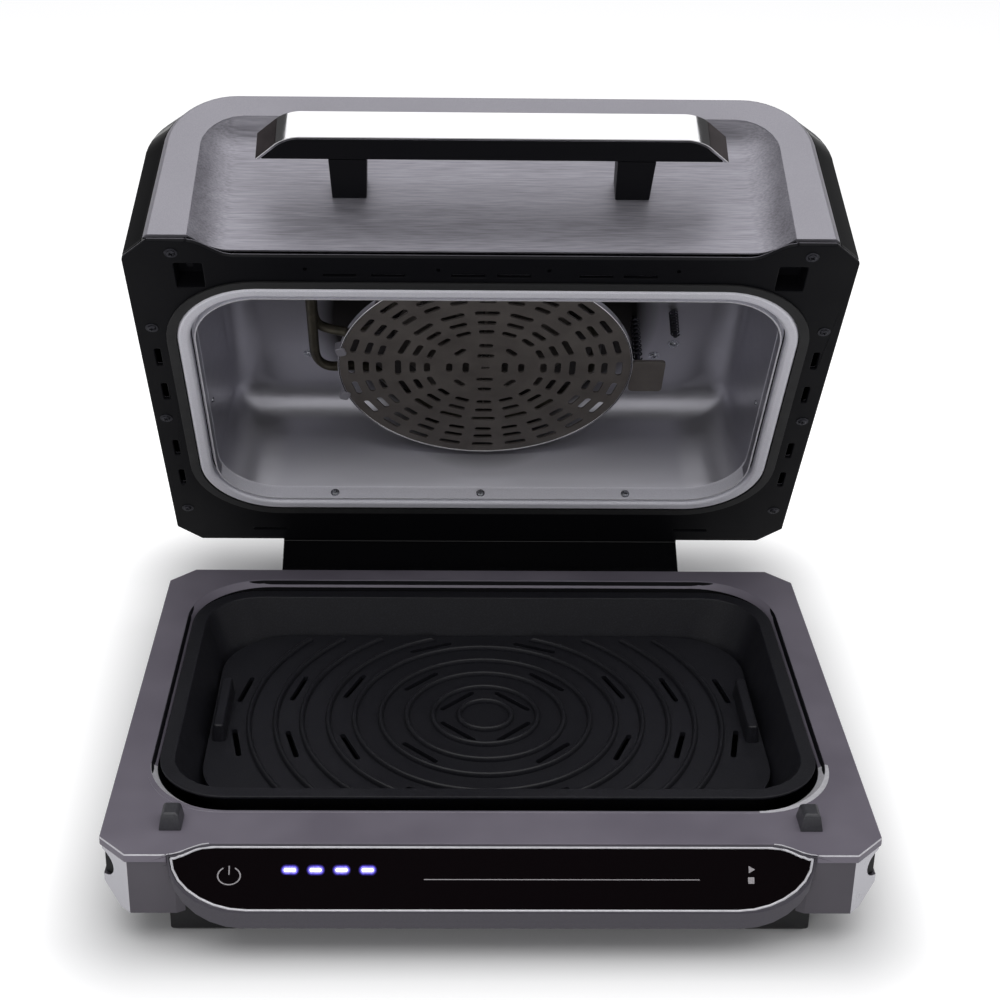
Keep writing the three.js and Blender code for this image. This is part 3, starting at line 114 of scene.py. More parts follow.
class Finish:
    """A material with one Principled shader, and patterns that lie on the piece in real sizes."""

    def __init__(self, name, colour, roughness, metallic=0.0, **sockets):
        self.material = bpy.data.materials.new(name)
        self.material.use_nodes = True
        self.tree = self.material.node_tree
        self.shader = self.tree.nodes["Principled BSDF"]
        self.shader.inputs["Base Color"].default_value = linear(colour)
        self.shader.inputs["Roughness"].default_value = roughness
        self.shader.inputs["Metallic"].default_value = metallic
        for key, value in sockets.items():
            self.shader.inputs[key.replace("_", " ")].default_value = value
        self.place = node(self.tree, "ShaderNodeTexCoord").outputs["Object"]

    def grain(self, size_mm, stretch=(1, 1, 1), detail=3.0, rough=0.6):
        """Noise whose grains are about size_mm across, longer along an axis that stretch makes small."""
        scaled = node(self.tree, "ShaderNodeMapping", n0=self.place, Scale=stretch).outputs[0]
        return node(self.tree, "ShaderNodeTexNoise", Vector=scaled, Scale=1 / mm(size_mm), Detail=detail,
                    Roughness=rough).outputs["Fac"]

    def tint(self, source, dark, light, at=(0.3, 0.7)):
        """The colour, between dark and light by the source."""
        share = spread(self.tree, source, 0, 1, at)
        mix = node(self.tree, "ShaderNodeMix", {"data_type": "RGBA"}, n0=share, n6=linear(dark),
                   n7=linear(light))
        self.tree.links.new(mix.outputs[2], self.shader.inputs["Base Color"])

    def relief(self, height, depth_mm, strength):
        bump = node(self.tree, "ShaderNodeBump", Height=height, Distance=mm(depth_mm), Strength=strength)
        self.tree.links.new(bump.outputs[0], self.shader.inputs["Normal"])

    def vary_roughness(self, source, low, high):
        self.tree.links.new(spread(self.tree, source, low, high), self.shader.inputs["Roughness"])


# Powder-coated steel, baked: an even satin with fine orange peel about 1.5 mm wide and a slight cloudiness
def powder_coated_grey():
    finish = Finish("powder_coated_grey", "#716C77", roughness=0.42, metallic=0.15)
    clouds = finish.grain(size_mm=60, detail=2)
    finish.tint(clouds, "#6B6671", "#78737E")
    finish.vary_roughness(clouds, low=0.38, high=0.46)
    finish.relief(finish.grain(size_mm=1.5), depth_mm=0.02, strength=0.35)
    return finish.material


# ABS in a satin grey lacquer, sprayed: smooth under a thin clear coat
def satin_lacquered_grey():
    finish = Finish("satin_lacquered_grey", "#4A464E", roughness=0.4, metallic=0.05, Coat_Weight=0.1,
                    Coat_Roughness=0.3)
    clouds = finish.grain(size_mm=55, detail=2)
    finish.tint(clouds, "#46424A", "#504C54")
    finish.vary_roughness(clouds, low=0.33, high=0.4)
    return finish.material


# The same moulding's front corners, in a lighter silver copy of its grey that throws back the pale table:
# a painted highlight for the side light they catch
def skirt_corner_painted_highlight():
    finish = Finish("skirt_corner_painted_highlight", "#CFCED4", roughness=0.24, metallic=0.75)
    finish.tint(finish.grain(size_mm=0.4, detail=1), "#C9C8CE", "#D6D5DB")
    finish.vary_roughness(finish.grain(size_mm=45, detail=2), low=0.2, high=0.28)
    return finish.material


# Silver-painted ABS, sprayed: a metallic base coat that sparkles faintly, with flakes drawn 0.4 mm wide,
# coarser than real ones, so that they show
def silver_paint():
    finish = Finish("silver_paint", "#929098", roughness=0.36, metallic=0.35, Coat_Weight=0.1)
    flakes = finish.grain(size_mm=0.4, detail=1)
    finish.tint(flakes, "#8B8991", "#9A98A0")
    finish.vary_roughness(finish.grain(size_mm=45, detail=2), low=0.33, high=0.41)
    return finish.material


# The same paint laid darker on the control pod, with flakes about 0.4 mm across
def dark_silver_paint():
    finish = Finish("dark_silver_paint", "#444149", roughness=0.4, metallic=0.1, Coat_Weight=0.1)
    flakes = finish.grain(size_mm=0.4, detail=1)
    finish.tint(flakes, "#3F3C44", "#4A474F")
    finish.vary_roughness(finish.grain(size_mm=45, detail=2), low=0.35, high=0.42)
    return finish.material


# Dark stainless sheet, brushed along its width: hairlines about 0.9 mm apart and some 20 mm long, which smear
# a reflection across them, under broader bands from the belt's passes
def brushed_stainless():
    finish = Finish("brushed_stainless", "#8F8D96", roughness=0.4, metallic=0.6)
    hairs = finish.grain(size_mm=0.9, stretch=(0.045, 1, 1), detail=3)
    bands = finish.grain(size_mm=9, stretch=(0.04, 1, 1), detail=2)
    both = node(finish.tree, "ShaderNodeMath", {"operation": "MULTIPLY_ADD"}, n0=hairs, n1=0.7,
                n2=spread(finish.tree, bands, 0, 0.3, (0, 1))).outputs[0]
    finish.tint(both, "#7B7981", "#A9A7B0")
    finish.vary_roughness(both, low=0.34, high=0.5)
    finish.relief(hairs, depth_mm=0.05, strength=0.35)
    return finish.material


# Stainless strip, mirror polished: nearly clean, with wipe marks that only change its gloss a little
def polished_stainless():
    finish = Finish("polished_stainless", "#E6E5E8", roughness=0.1, metallic=1.0)
    finish.vary_roughness(finish.grain(size_mm=25, stretch=(0.2, 1, 1), detail=3), low=0.07, high=0.14)
    return finish.material


# The strip's ends, bent over a die: the same polish painted dark brown, a painted reflection of the dark
# surroundings they face
def stainless_painted_dark_reflection():
    finish = Finish("stainless_painted_dark_reflection", "#4B4245", roughness=0.16, metallic=0.9)
    finish.tint(finish.grain(size_mm=9, detail=2), "#40383B", "#574D50")
    finish.vary_roughness(finish.grain(size_mm=12, detail=2), low=0.14, high=0.22)
    return finish.material


# Aluminised steel, rolled and drawn: a dull silver with rolling streaks that only change its gloss. Round the
# fan's axis it is painted dark in a spot about 200 mm across that fades over 16 mm: painted shade where the
# guard shadows it
GUARD_SHADE_SPOT = (mm(101), mm(117))


def steel_with_painted_shade():
    finish = Finish("steel_with_painted_shade", "#A5A4AC", roughness=0.3, metallic=0.9)
    away = node(finish.tree, "ShaderNodeVectorMath", {"operation": "DISTANCE"}, n0=finish.place,
                n1=LID_PLACE @ spot(0, GUARD_Y, SHELL_ROOF)).outputs["Value"]
    finish.tint(away, "#302D2C", "#BDBCC4", GUARD_SHADE_SPOT)
    finish.vary_roughness(finish.grain(size_mm=8, stretch=(0.15, 1, 1), detail=1), low=0.3, high=0.36)
    return finish.material


# Mild steel in black heat-proof enamel, sprayed thin: half matt, with a fine tooth
def heatproof_enamel():
    finish = Finish("heatproof_enamel", "#5A5553", roughness=0.5, metallic=0.2)
    finish.tint(finish.grain(size_mm=20, detail=3), "#534E4C", "#625D5A")
    finish.relief(finish.grain(size_mm=0.8), depth_mm=0.03, strength=0.4)
    return finish.material


# Cast aluminium with a PTFE non-stick coat: soft black satin, speckled, over the casting's gentle skin
def nonstick_coating():
    finish = Finish("nonstick_coating", "#1B1B1F", roughness=0.42, Specular_IOR_Level=0.4)
    speckle = finish.grain(size_mm=0.9, detail=1)
    finish.tint(speckle, "#18181C", "#26262C", (0.45, 0.8))
    finish.vary_roughness(finish.grain(size_mm=30, detail=3), low=0.33, high=0.46)
    finish.relief(finish.grain(size_mm=1.2), depth_mm=0.02, strength=0.5)
    return finish.material


# ABS moulded in a spark-eroded tool: black satin with an even texture about 0.6 mm across
def satin_black_abs():
    finish = Finish("satin_black_abs", "#101013", roughness=0.45, IOR=1.54, Specular_IOR_Level=0.08)
    finish.vary_roughness(finish.grain(size_mm=35, detail=2), low=0.38, high=0.47)
    finish.relief(finish.grain(size_mm=0.6), depth_mm=0.02, strength=0.4)
    return finish.material


# ABS moulded in a polished tool: piano black, its long faces very slightly wavy from cooling
def gloss_black_abs(name, specular):
    finish = Finish(name, "#0B0B0D", roughness=0.16, IOR=1.54, Specular_IOR_Level=specular)
    finish.vary_roughness(finish.grain(size_mm=30, detail=2), low=0.09, high=0.16)
    finish.relief(finish.grain(size_mm=30, detail=1), depth_mm=0.05, strength=0.3)
    return finish.material


# Toughened glass with a black print behind it: deep, flat and even
def black_glass():
    finish = Finish("black_glass", "#0B0709", roughness=0.08, IOR=1.5, Specular_IOR_Level=0.12)
    finish.vary_roughness(finish.grain(size_mm=30, detail=3), low=0.04, high=0.09)
    return finish.material


# Silicone rubber, pressed: matt and dust-grey where the light grazes it
def silicone_rubber():
    finish = Finish("silicone_rubber", "#0F0F11", roughness=0.62, Sheen_Weight=0.1)
    finish.relief(finish.grain(size_mm=1.0), depth_mm=0.03, strength=0.5)
    finish.vary_roughness(finish.grain(size_mm=15), low=0.56, high=0.7)
    return finish.material


# Glass-fibre board under a green solder mask, with the weave about 0.5 mm wide showing through
def circuit_board():
    finish = Finish("circuit_board", "#1E5534", roughness=0.35)
    finish.tint(finish.grain(size_mm=0.5, stretch=(1, 0.2, 1)), "#1A4A2D", "#26633E")
    return finish.material


# Aluminium section, rolled, bead-blasted and anodised: pale and even, with a soft satin gleam. On the cavity
# shell it is laid as a painted highlight
def anodised_aluminium_and_highlight():
    finish = Finish("anodised_aluminium_and_highlight", "#DDDCE4", roughness=0.36, metallic=0.15)
    finish.tint(finish.grain(size_mm=0.6, detail=1), "#D7D6DE", "#E4E3EB")
    finish.vary_roughness(finish.grain(size_mm=25, detail=1), low=0.31, high=0.37)
    return finish.material


# The cover's satin plastic along its upper front edge, painted pale: a painted highlight where the edge
# catches the light
def black_edge_painted_highlight():
    finish = Finish("black_edge_painted_highlight", "#6F6D74", roughness=0.35, metallic=0.1)
    finish.vary_roughness(finish.grain(size_mm=5), low=0.3, high=0.45)
    return finish.material


# A pale steel finish, bright at any angle: a painted highlight for thin bright lines on the plate's front
# edge, the bay's lip, the glass bead and the shell's rim
def pale_painted_highlight():
    finish = Finish("pale_painted_highlight", "#D2D1D6", roughness=0.38, metallic=0.35)
    finish.tint(finish.grain(size_mm=3, detail=1), "#CBCACF", "#DAD9DE")
    finish.vary_roughness(finish.grain(size_mm=6), low=0.33, high=0.43)
    return finish.material


# Zinc-plated steel, bright: small parts with a faint bluish blotch
def zinc_plate():
    finish = Finish("zinc_plate", "#C3C5CB", roughness=0.25, metallic=1.0)
    finish.tint(finish.grain(size_mm=4), "#B4B6BD", "#D2D4D9")
    finish.vary_roughness(finish.grain(size_mm=2), low=0.18, high=0.34)
    return finish.material


# Nickel-alloy heater sheath, oxidised by use: olive brown, darker in patches
def heater_sheath():
    finish = Finish("heater_sheath", "#48443C", roughness=0.48, metallic=0.6)
    finish.tint(finish.grain(size_mm=9, detail=4), "#3E3A33", "#545045")
    finish.vary_roughness(finish.grain(size_mm=3), low=0.34, high=0.52)
    return finish.material


# Glass-filled nylon, moulded charcoal: a hard satin that greys where light grazes it
def charcoal_nylon():
    finish = Finish("charcoal_nylon", "#37373B", roughness=0.4)
    finish.tint(finish.grain(size_mm=1.2), "#333337", "#3E3E42")
    finish.vary_roughness(finish.grain(size_mm=4), low=0.34, high=0.46)
    return finish.material


# Natural nylon, moulded: milky, with soft light inside
def natural_nylon():
    finish = Finish("natural_nylon", "#D3CFC2", roughness=0.45, Subsurface_Weight=0.1)
    finish.vary_roughness(finish.grain(size_mm=6), low=0.4, high=0.52)
    return finish.material


# Carbon steel with a hot black oxide, oiled: small dark screws with a soft metal gleam
def black_oxide_steel():
    finish = Finish("black_oxide_steel", "#3B3B40", roughness=0.32, metallic=0.9)
    finish.tint(finish.grain(size_mm=2), "#333338", "#47474D")
    finish.vary_roughness(finish.grain(size_mm=1.5), low=0.26, high=0.42)
    return finish.material


# The stray light of a window in the print under the glass: violet, paler in each step towards the window
def stray_light(step, colour):
    finish = Finish(f"stray_light_{step}", colour, roughness=0.3, Specular_IOR_Level=0.1)
    finish.tint(finish.grain(size_mm=2), "#0B0709", colour)
    finish.shader.inputs["Emission Color"].default_value = linear(colour)
    finish.shader.inputs["Emission Strength"].default_value = 0.8
    return finish.material


# Screen-printed ceramic ink on the glass: thin, pale grey, slightly uneven
def printed_ink():
    finish = Finish("printed_ink", "#969295", roughness=0.5)
    finish.tint(finish.grain(size_mm=0.7), "#8A8689", "#A29EA1")
    return finish.material


# A lit window in the print, over a cool white LED: near white in the middle, blue-violet at its rim
def led_window():
    finish = Finish("led_window", "#E9E8FF", roughness=0.3)
    finish.tint(finish.grain(size_mm=2), "#E4E2FF", "#F6F5FF")
    finish.shader.inputs["Emission Color"].default_value = linear("#EDEBFF")
    finish.shader.inputs["Emission Strength"].default_value = 1.0
    return finish.material


powder_grey = powder_coated_grey()
satin_grey = satin_lacquered_grey()
corner_highlight_silver = skirt_corner_painted_highlight()
silver = silver_paint()
bezel_silver = dark_silver_paint()
brushed = brushed_stainless()
polished = polished_stainless()
end_painted_reflection = stainless_painted_dark_reflection()
cavity_steel_painted_shade = steel_with_painted_shade()
enamel = heatproof_enamel()
nonstick = nonstick_coating()
satin_black = satin_black_abs()
gloss_black = gloss_black_abs("gloss_black_abs", 0.4)
# the hood's sides: the same black with almost no reflection, painted shade for the dark studio they would
# mirror
hood_side_painted_shade = gloss_black_abs("gloss_black_painted_shade", 0.02)
stud_grey = charcoal_nylon()
glass = black_glass()
rubber = silicone_rubber()
board_green = circuit_board()
anodised_and_highlight = anodised_aluminium_and_highlight()
edge_highlight_paint = pale_painted_highlight()
cover_edge_highlight = black_edge_painted_highlight()
zinc = zinc_plate()
sheath = heater_sheath()
nylon = natural_nylon()
black_oxide = black_oxide_steel()
ink = printed_ink()
HALO_COLOURS = ("#120D24", "#241C58", "#4A40B4", "#8E86F4")
led_halos = [stray_light(step, colour) for step, colour in enumerate(HALO_COLOURS, 1)]
led_light = led_window()

# Modelling helpers, which take lengths in millimetres and angles in degrees

WELD = 0.01
FLAT_WITHIN = 0.5
SHARP_OVER = 30
FACETED_UNDER = 12
SMOOTH_UNDER = 40
ROUND_UNDER = 60
LEVEL_WITHIN = 0.5
PLUMB_WITHIN = 0.001
CUT_PAST = 10
CORNER_STEPS = 12
WIDE_CORNER_STEPS = 20
# how much of a face's normal points a way before the face counts as facing that way
FACING_SHARE = 0.9
# the rounding of a punch's end stays this much under half its width, so that its corners don't meet
NEARLY_ROUND = 0.05


def pick(*pieces):
    """Only these objects are selected, the last one active."""
    if bpy.context.object and bpy.context.object.mode != "OBJECT":
        bpy.ops.object.mode_set(mode="OBJECT")
    bpy.ops.object.select_all(action="DESELECT")
    for piece in pieces:
        piece.select_set(True)
        bpy.context.view_layer.objects.active = piece
    return pieces[-1] if pieces else None


def edit_faces(piece, test, kind="faces"):
    """Opens the piece in edit mode with the faces or edges that pass the test selected, and nothing else."""
    pick(piece)
    bpy.ops.object.mode_set(mode="EDIT")
    bpy.ops.mesh.select_all(action="DESELECT")
    bpy.ops.mesh.select_mode(type="FACE" if kind == "faces" else "EDGE")
    shape = bmesh.from_edit_mesh(piece.data)
    for part in getattr(shape, kind):
        part.select_set(bool(test(part)))
    if kind == "faces":
        shape.select_flush(False)
    bmesh.update_edit_mesh(piece.data)


def leave_edit():
    bpy.ops.object.mode_set(mode="OBJECT")


def place_in_mesh():
    """Moves the selected object's place, turn and scale into its mesh."""
    bpy.ops.object.transform_apply(location=True, rotation=True, scale=True)


# Tests for edit_faces


def everything(part):
    return True


def faces_up(face):
    return face.normal.z > FACING_SHARE


def faces_down(face):
    return face.normal.z < -FACING_SHARE


def faces_front(face):
    return face.normal.y < -FACING_SHARE


def stands_upright(edge):
    return (edge.verts[0].co - edge.verts[1].co).xy.length < mm(PLUMB_WITHIN)


def at_height(z):
    """The test for edges that lie level at this height."""
    return lambda edge: all(abs(vert.co.z - mm(z)) < mm(LEVEL_WITHIN) for vert in edge.verts)


def coat_selected(material):
    """Gives the faces that are selected in edit mode another finish."""
    piece = bpy.context.object
    if material.name not in piece.data.materials:
        piece.data.materials.append(material)
    piece.active_material_index = piece.data.materials.find(material.name)
    bpy.ops.object.material_slot_assign()


def coat_faces(piece, material, test):
    edit_faces(piece, test)
    coat_selected(material)
    leave_edit()


def round_edges(piece, test, radius, segments, material=None):
    """Rounds the edges that pass the test, and may give the new faces another finish."""
    edit_faces(piece, test, "edges")
    bpy.ops.mesh.bevel(offset=mm(radius), segments=segments, profile=0.5, affect="EDGES")
    if material:
        coat_selected(material)
    leave_edit()


def resize(piece, test, shares, kind="faces", **centre):
    """Scales the faces or edges that pass the test, about their own middle or center_override."""
    edit_faces(piece, test, kind)
    bpy.ops.transform.resize(value=shares, **centre)
    leave_edit()


def open_up(piece, test):
    """Takes out the faces that pass the test."""
    edit_faces(piece, test)
    bpy.ops.mesh.delete(type="FACE")
    leave_edit()


def modify(piece, kind, **settings):
    pick(piece)
    bpy.ops.object.modifier_add(type=kind)
    added = piece.modifiers[-1]
    for name, value in settings.items():
        setattr(added, name, value)
    bpy.ops.object.modifier_apply(modifier=added.name)


def soften(piece, width, segments=2):
    """Rounds the sharp edges, as tooling and paint do."""
    modify(piece, "BEVEL", width=mm(width), segments=segments, limit_method="ANGLE",
           angle_limit=math.radians(SHARP_OVER), use_clamp_overlap=False, miter_outer="MITER_ARC",
           harden_normals=False)


def shade(piece, under=SMOOTH_UNDER):
    """Smooth over the edges that turn less than this, with the large faces kept flat."""
    pick(piece)
    bpy.ops.object.shade_smooth_by_angle(angle=math.radians(under))
    modify(piece, "WEIGHTED_NORMAL", keep_sharp=True, weight=80)


def named(piece, name, material):
    piece.name = name
    piece.data.name = name
    piece.data.materials.clear()
    piece.data.materials.append(material)
    return piece


def settle(piece, body):
    """Puts a piece that was modelled with the lid shut into the row frame, and lets it ride on its body."""
    pick(piece)
    piece.matrix_world = PLACES.get(body, BASE_PLACE) @ piece.matrix_world
    place_in_mesh()
    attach(piece, body)
    return piece


def merged_copy(node_name, name, material, whole_faces=True):
    """A copy of a CAD node with its triangles merged, into whole faces or into quads."""
    source = frame["nodes"][node_name]
    piece = bpy.data.objects.new(name, source.data.copy())
    bpy.context.scene.collection.objects.link(piece)
    pick(piece)
    bpy.ops.mesh.customdata_custom_splitnormals_clear()
    bpy.ops.object.mode_set(mode="EDIT")
    bpy.ops.mesh.select_all(action="SELECT")
    bpy.ops.mesh.remove_doubles(threshold=mm(WELD))
    if whole_faces:
        bpy.ops.mesh.dissolve_limited(angle_limit=math.radians(FLAT_WITHIN))
    else:
        bpy.ops.mesh.tris_convert_to_quads()
    leave_edit()
    return named(piece, name, material)


def dressed(node_name, name, material, edge):
    """A CAD node in its own place, with smooth curves and edges rounded by edge, unless that is 0 or None."""
    piece = merged_copy(node_name, name, material, whole_faces=edge is not None)
    if edge:
        soften(piece, edge)
    if edge is None:
        pick(piece)
        bpy.ops.object.shade_smooth_by_angle(angle=math.radians(FACETED_UNDER))
    else:
        shade(piece)
    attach(piece, frame["nodes"][node_name]["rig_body"])
    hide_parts(node_name)
    return piece


def plate(name, material, x, y, z, corner=0, steps=CORNER_STEPS):
    """A slab between the two ends of x, y and z, with its upright edges rounded to the corner's radius."""
    pick()
    bpy.ops.mesh.primitive_cube_add(size=1, location=spot(sum(x) / 2, sum(y) / 2, sum(z) / 2),
                                    scale=spot(x[1] - x[0], y[1] - y[0], z[1] - z[0]))
    piece = bpy.context.object
    place_in_mesh()
    if corner:
        round_edges(piece, stands_upright, corner, steps)
    return named(piece, name, material)


def oblong(y, half_width, half_depth):
    """The ends of x and y for a slab that is centred on x 0 and this y."""
    return (-half_width, half_width), (y - half_depth, y + half_depth)


def rod(name, material, radius, x, y, z, sides=32):
    """A round bar or disc that stands along z."""
    pick()
    bpy.ops.mesh.primitive_cylinder_add(vertices=sides, radius=mm(radius), depth=mm(z[1] - z[0]),
                                        location=spot(x, y, sum(z) / 2))
    piece = bpy.context.object
    place_in_mesh()
    return named(piece, name, material)


def twin(piece, name, place):
    """A copy with its own mesh, moved by a matrix."""
    copy = bpy.data.objects.new(name, piece.data.copy())
    bpy.context.scene.collection.objects.link(copy)
    copy.data.name = name
    copy.data.transform(place)
    return copy


def gathered(pieces):
    """The pieces joined to the last one."""
    piece = pick(*pieces)
    bpy.ops.object.join()
    return piece


def scrap(*pieces):
    pick(*pieces)
    bpy.ops.object.delete()


def carve(piece, cutter, operation="DIFFERENCE"):
    modify(piece, "BOOLEAN", object=cutter, operation=operation, solver="EXACT")
    scrap(cutter)
    return piece


def hoop(name, material, halves, z, corner, wall):
    """A flat hoop round the fan's axis: a slab with a hole that leaves the same wall all round."""
    piece = plate(name, material, *oblong(GUARD_Y, *halves), z, corner, WIDE_CORNER_STEPS)
    hole = plate("bore", material, *oblong(GUARD_Y, *(half - wall for half in halves)),
                 (z[0] - CUT_PAST, z[1] + CUT_PAST), corner - wall, WIDE_CORNER_STEPS)
    return carve(piece, hole)


def turned(angle, y):
    """A turn about an upright axis at x 0 and this y."""
    axis = Matrix.Translation(spot(0, y, 0))
    return axis @ Matrix.Rotation(angle, 4, "Z") @ axis.inverted()


def mend_normals(piece):
    edit_faces(piece, everything)
    bpy.ops.mesh.normals_make_consistent(inside=False)
    leave_edit()


# Camera, light and floor, in metres

# The camera is the photograph's, with its film and lens in millimetres and its turns in degrees
FILM_WIDTH = 36
LENS = 66.6
LENS_SHIFT = (0.03181, -0.05919)
CAMERA_PLACE = (-0.03085, -1.04075, 0.67592)
CAMERA_TURNS = (65.68652, -0.66354, -0.73321)

camera_data = bpy.data.cameras.new("camera")
camera_data.sensor_width = FILM_WIDTH
camera_data.lens = LENS
camera_data.shift_x, camera_data.shift_y = LENS_SHIFT
camera = bpy.data.objects.new("camera", camera_data)
bpy.context.scene.collection.objects.link(camera)
camera.location = CAMERA_PLACE
camera.rotation_euler = [math.radians(turn) for turn in CAMERA_TURNS]
bpy.context.scene.camera = camera
bpy.context.scene.view_settings.view_transform = "Standard"

# The world lights the pieces with an even grey. The camera sees it white, and gloss sees it white at the
# horizon, fading to a dark studio overhead
BLACK = (0, 0, 0, 1)
WHITE = (1, 1, 1, 1)
EVEN_LIGHT = (0.27, 0.27, 0.28, 1)
STUDIO_DARK = 0.07
HORIZON_FADE = (-0.05, 0.3)

world = bpy.data.worlds.new("studio")
bpy.context.scene.world = world
world.use_nodes = True
sky = world.node_tree
ray = node(sky, "ShaderNodeLightPath").outputs
direction = node(sky, "ShaderNodeTexCoord").outputs["Generated"]
height = node(sky, "ShaderNodeSeparateXYZ", n0=direction).outputs[2]
studio = spread(sky, height, 1.0, STUDIO_DARK, HORIZON_FADE)
clear_view = node(sky, "ShaderNodeMath", {"operation": "MAXIMUM"}, n0=ray["Is Camera Ray"],
                  n1=ray["Is Transmission Ray"]).outputs[0]
brightness = node(sky, "ShaderNodeMath", {"operation": "MAXIMUM"}, n0=studio, n1=clear_view).outputs[0]
any_view = node(sky, "ShaderNodeMath", {"operation": "MAXIMUM"}, n0=clear_view,
                n1=ray["Is Glossy Ray"]).outputs[0]
backdrop = node(sky, "ShaderNodeMix", {"data_type": "RGBA"}, n0=brightness, n6=BLACK, n7=WHITE).outputs[2]
light = node(sky, "ShaderNodeMix", {"data_type": "RGBA"}, n0=any_view, n6=EVEN_LIGHT, n7=backdrop).outputs[2]
sky.links.new(light, sky.nodes["Background"].inputs["Color"])


def softbox(name, place, aim, width, depth, watts, mirrored=True):
    """A soft rectangular lamp. One that isn't mirrored lights the pieces without showing in their gloss."""
    lamp = bpy.data.lights.new(name, "AREA")
    lamp.shape = "RECTANGLE"
    lamp.size, lamp.size_y, lamp.energy = width, depth, watts
    holder = bpy.data.objects.new(name, lamp)
    bpy.context.scene.collection.objects.link(holder)
    holder.visible_glossy = mirrored
    holder.location = place
    holder.rotation_euler = (Vector(aim) - Vector(place)).to_track_quat("-Z", "Y").to_euler()


softbox("overhead_softbox", place=(0, -0.3, 1.7), aim=(0, -0.2, 0.2), width=3.0, depth=2.0, watts=25)
softbox("front_softbox", place=(-0.45, -1.75, 0.7), aim=(0, 0, 0.2), width=0.9, depth=0.9, watts=6.5,
        mirrored=False)
softbox("side_softbox", place=(1.5, -0.3, 0.9), aim=(0, 0, 0.2), width=0.5, depth=1.0, watts=3,
        mirrored=False)

# White paper. Its glow, which only the camera sees, grows with the distance from the appliance's footprint,
# so that the lamps' shadow stays close to it
PAPER_SIDE = 40
PAPER_COLOUR = (0.82, 0.82, 0.82, 1)
PAPER_ROUGHNESS = 0.9
FOOTPRINT_HALF = (0.19, 0.215, 0)
SHADOW_REACH = 0.115
PAPER_GLOW = 0.7
ORIGIN = (0, 0, 0)

pick()
bpy.ops.mesh.primitive_plane_add(size=PAPER_SIDE, location=ORIGIN)
floor = bpy.context.object
floor.name = "paper_floor"
paper = bpy.data.materials.new("white_paper")
paper.use_nodes = True
sheet = paper.node_tree
sheet_shader = sheet.nodes["Principled BSDF"]
sheet_shader.inputs["Base Color"].default_value = PAPER_COLOUR
sheet_shader.inputs["Roughness"].default_value = PAPER_ROUGHNESS
sheet_shader.inputs["Specular IOR Level"].default_value = 0
beside = node(sheet, "ShaderNodeTexCoord").outputs["Object"]
for operation, other in (("ABSOLUTE", ORIGIN), ("SUBTRACT", FOOTPRINT_HALF), ("MAXIMUM", ORIGIN)):
    beside = node(sheet, "ShaderNodeVectorMath", {"operation": operation}, n0=beside, n1=other).outputs[0]
distance = node(sheet, "ShaderNodeVectorMath", {"operation": "LENGTH"}, n0=beside).outputs["Value"]
glow = node(sheet, "ShaderNodeMapRange", {"interpolation_type": "SMOOTHSTEP"}, n0=distance, From_Min=0.0,
            From_Max=SHADOW_REACH, To_Min=0.0, To_Max=PAPER_GLOW).outputs[0]
seen_glow = node(sheet, "ShaderNodeMath", {"operation": "MULTIPLY"}, n0=glow,
                 n1=node(sheet, "ShaderNodeLightPath").outputs["Is Camera Ray"]).outputs[0]
sheet_shader.inputs["Emission Color"].default_value = WHITE
sheet.links.new(seen_glow, sheet_shader.inputs["Emission Strength"])
floor.data.materials.append(paper)

# Pieces whose shape is the source's: the node, the piece, its finish and the radius of its softened edges,
# where 0 leaves them sharp and None leaves the node's own facets too

FINISHES = [
    ("top_plate", "deck_plate", powder_grey, 0.6),
    ("skirt", "skirt_panel", satin_grey, None),
    ("bottom_cover", "underside_tray", satin_black, 0.5),
    ("panel_bezel", "control_bezel", bezel_silver, 0.3),
    ("touch_glass", "control_glass", glass, 0.3),
    ("control_board", "key_board", board_green, 0),
    ("power_board", "supply_board", board_green, 0),
    ("bay_liner", "bay_tub", satin_black, 0.4),
    ("cord_gland", "cable_gland", rubber, 0.4),
    ("pan", "cooking_pan", nonstick, 0.7),
    ("side_grip_left", "grip_insert_left", satin_black, 0.5),
    ("side_grip_right", "grip_insert_right", satin_black, 0.5),
    ("stud_left", "guide_stud_left", stud_grey, 0.6),
    ("stud_right", "guide_stud_right", stud_grey, 0.5),
    ("foot_front_left", "rubber_foot_front_left", rubber, 0.8),
    ("foot_front_right", "rubber_foot_front_right", rubber, 0.8),
    ("foot_back_left", "rubber_foot_back_left", rubber, 0.8),
    ("foot_back_right", "rubber_foot_back_right", rubber, 0.8),
    ("hinge_ear_left", "hinge_lug_left", satin_black, 0.5),
    ("hinge_ear_right", "hinge_lug_right", satin_black, 0.5),
    ("hinge_pin_left", "pivot_pin_left", zinc, 0.3),
    ("hinge_pin_right", "pivot_pin_right", zinc, 0.3),
    ("hinge_washer_left", "pivot_washer_left", zinc, 0),
    ("hinge_washer_right", "pivot_washer_right", zinc, 0),
    ("convection_fan", "hot_air_fan", enamel, 0),
    ("cooling_fan", "motor_cooling_fan", nylon, 0),
    ("fan_shaft", "motor_shaft", zinc, 0),
    ("switch_plunger", "lid_switch_plunger", satin_black, 0.3),
    ("handle_post_left", "handle_leg_left", satin_black, 0.8),
    ("handle_post_right", "handle_leg_right", satin_black, 0.8),
    ("lid_shell", "lid_hood", gloss_black, 1.0),
    ("front_flange", "lid_front_surround", silver, 0.7),
    ("inner_cover", "lid_under_cover", satin_black, 0.9),
    ("lid_gasket", "cavity_gasket", rubber, 0.3),
    ("motor_bracket", "motor_bridge", zinc, 0.3),
    ("motor", "motor_case", zinc, 0.5),
    ("switch_body", "lid_switch_case", satin_black, 0.3),
    ("handle_core", "handle_grip_core", satin_black, 0.8),
    ("hinge_arm", "hinge_bridge", gloss_black, 1.0),
    ("back_vent", "rear_vent_grille", satin_black, 0.3),
]
for node_name, piece_name, material, edge_mm in FINISHES:
    dressed(node_name, piece_name, material, edge_mm)

# The fan guard: a disc with rings of round-ended slots, its rolled edge, and two clips on its left side

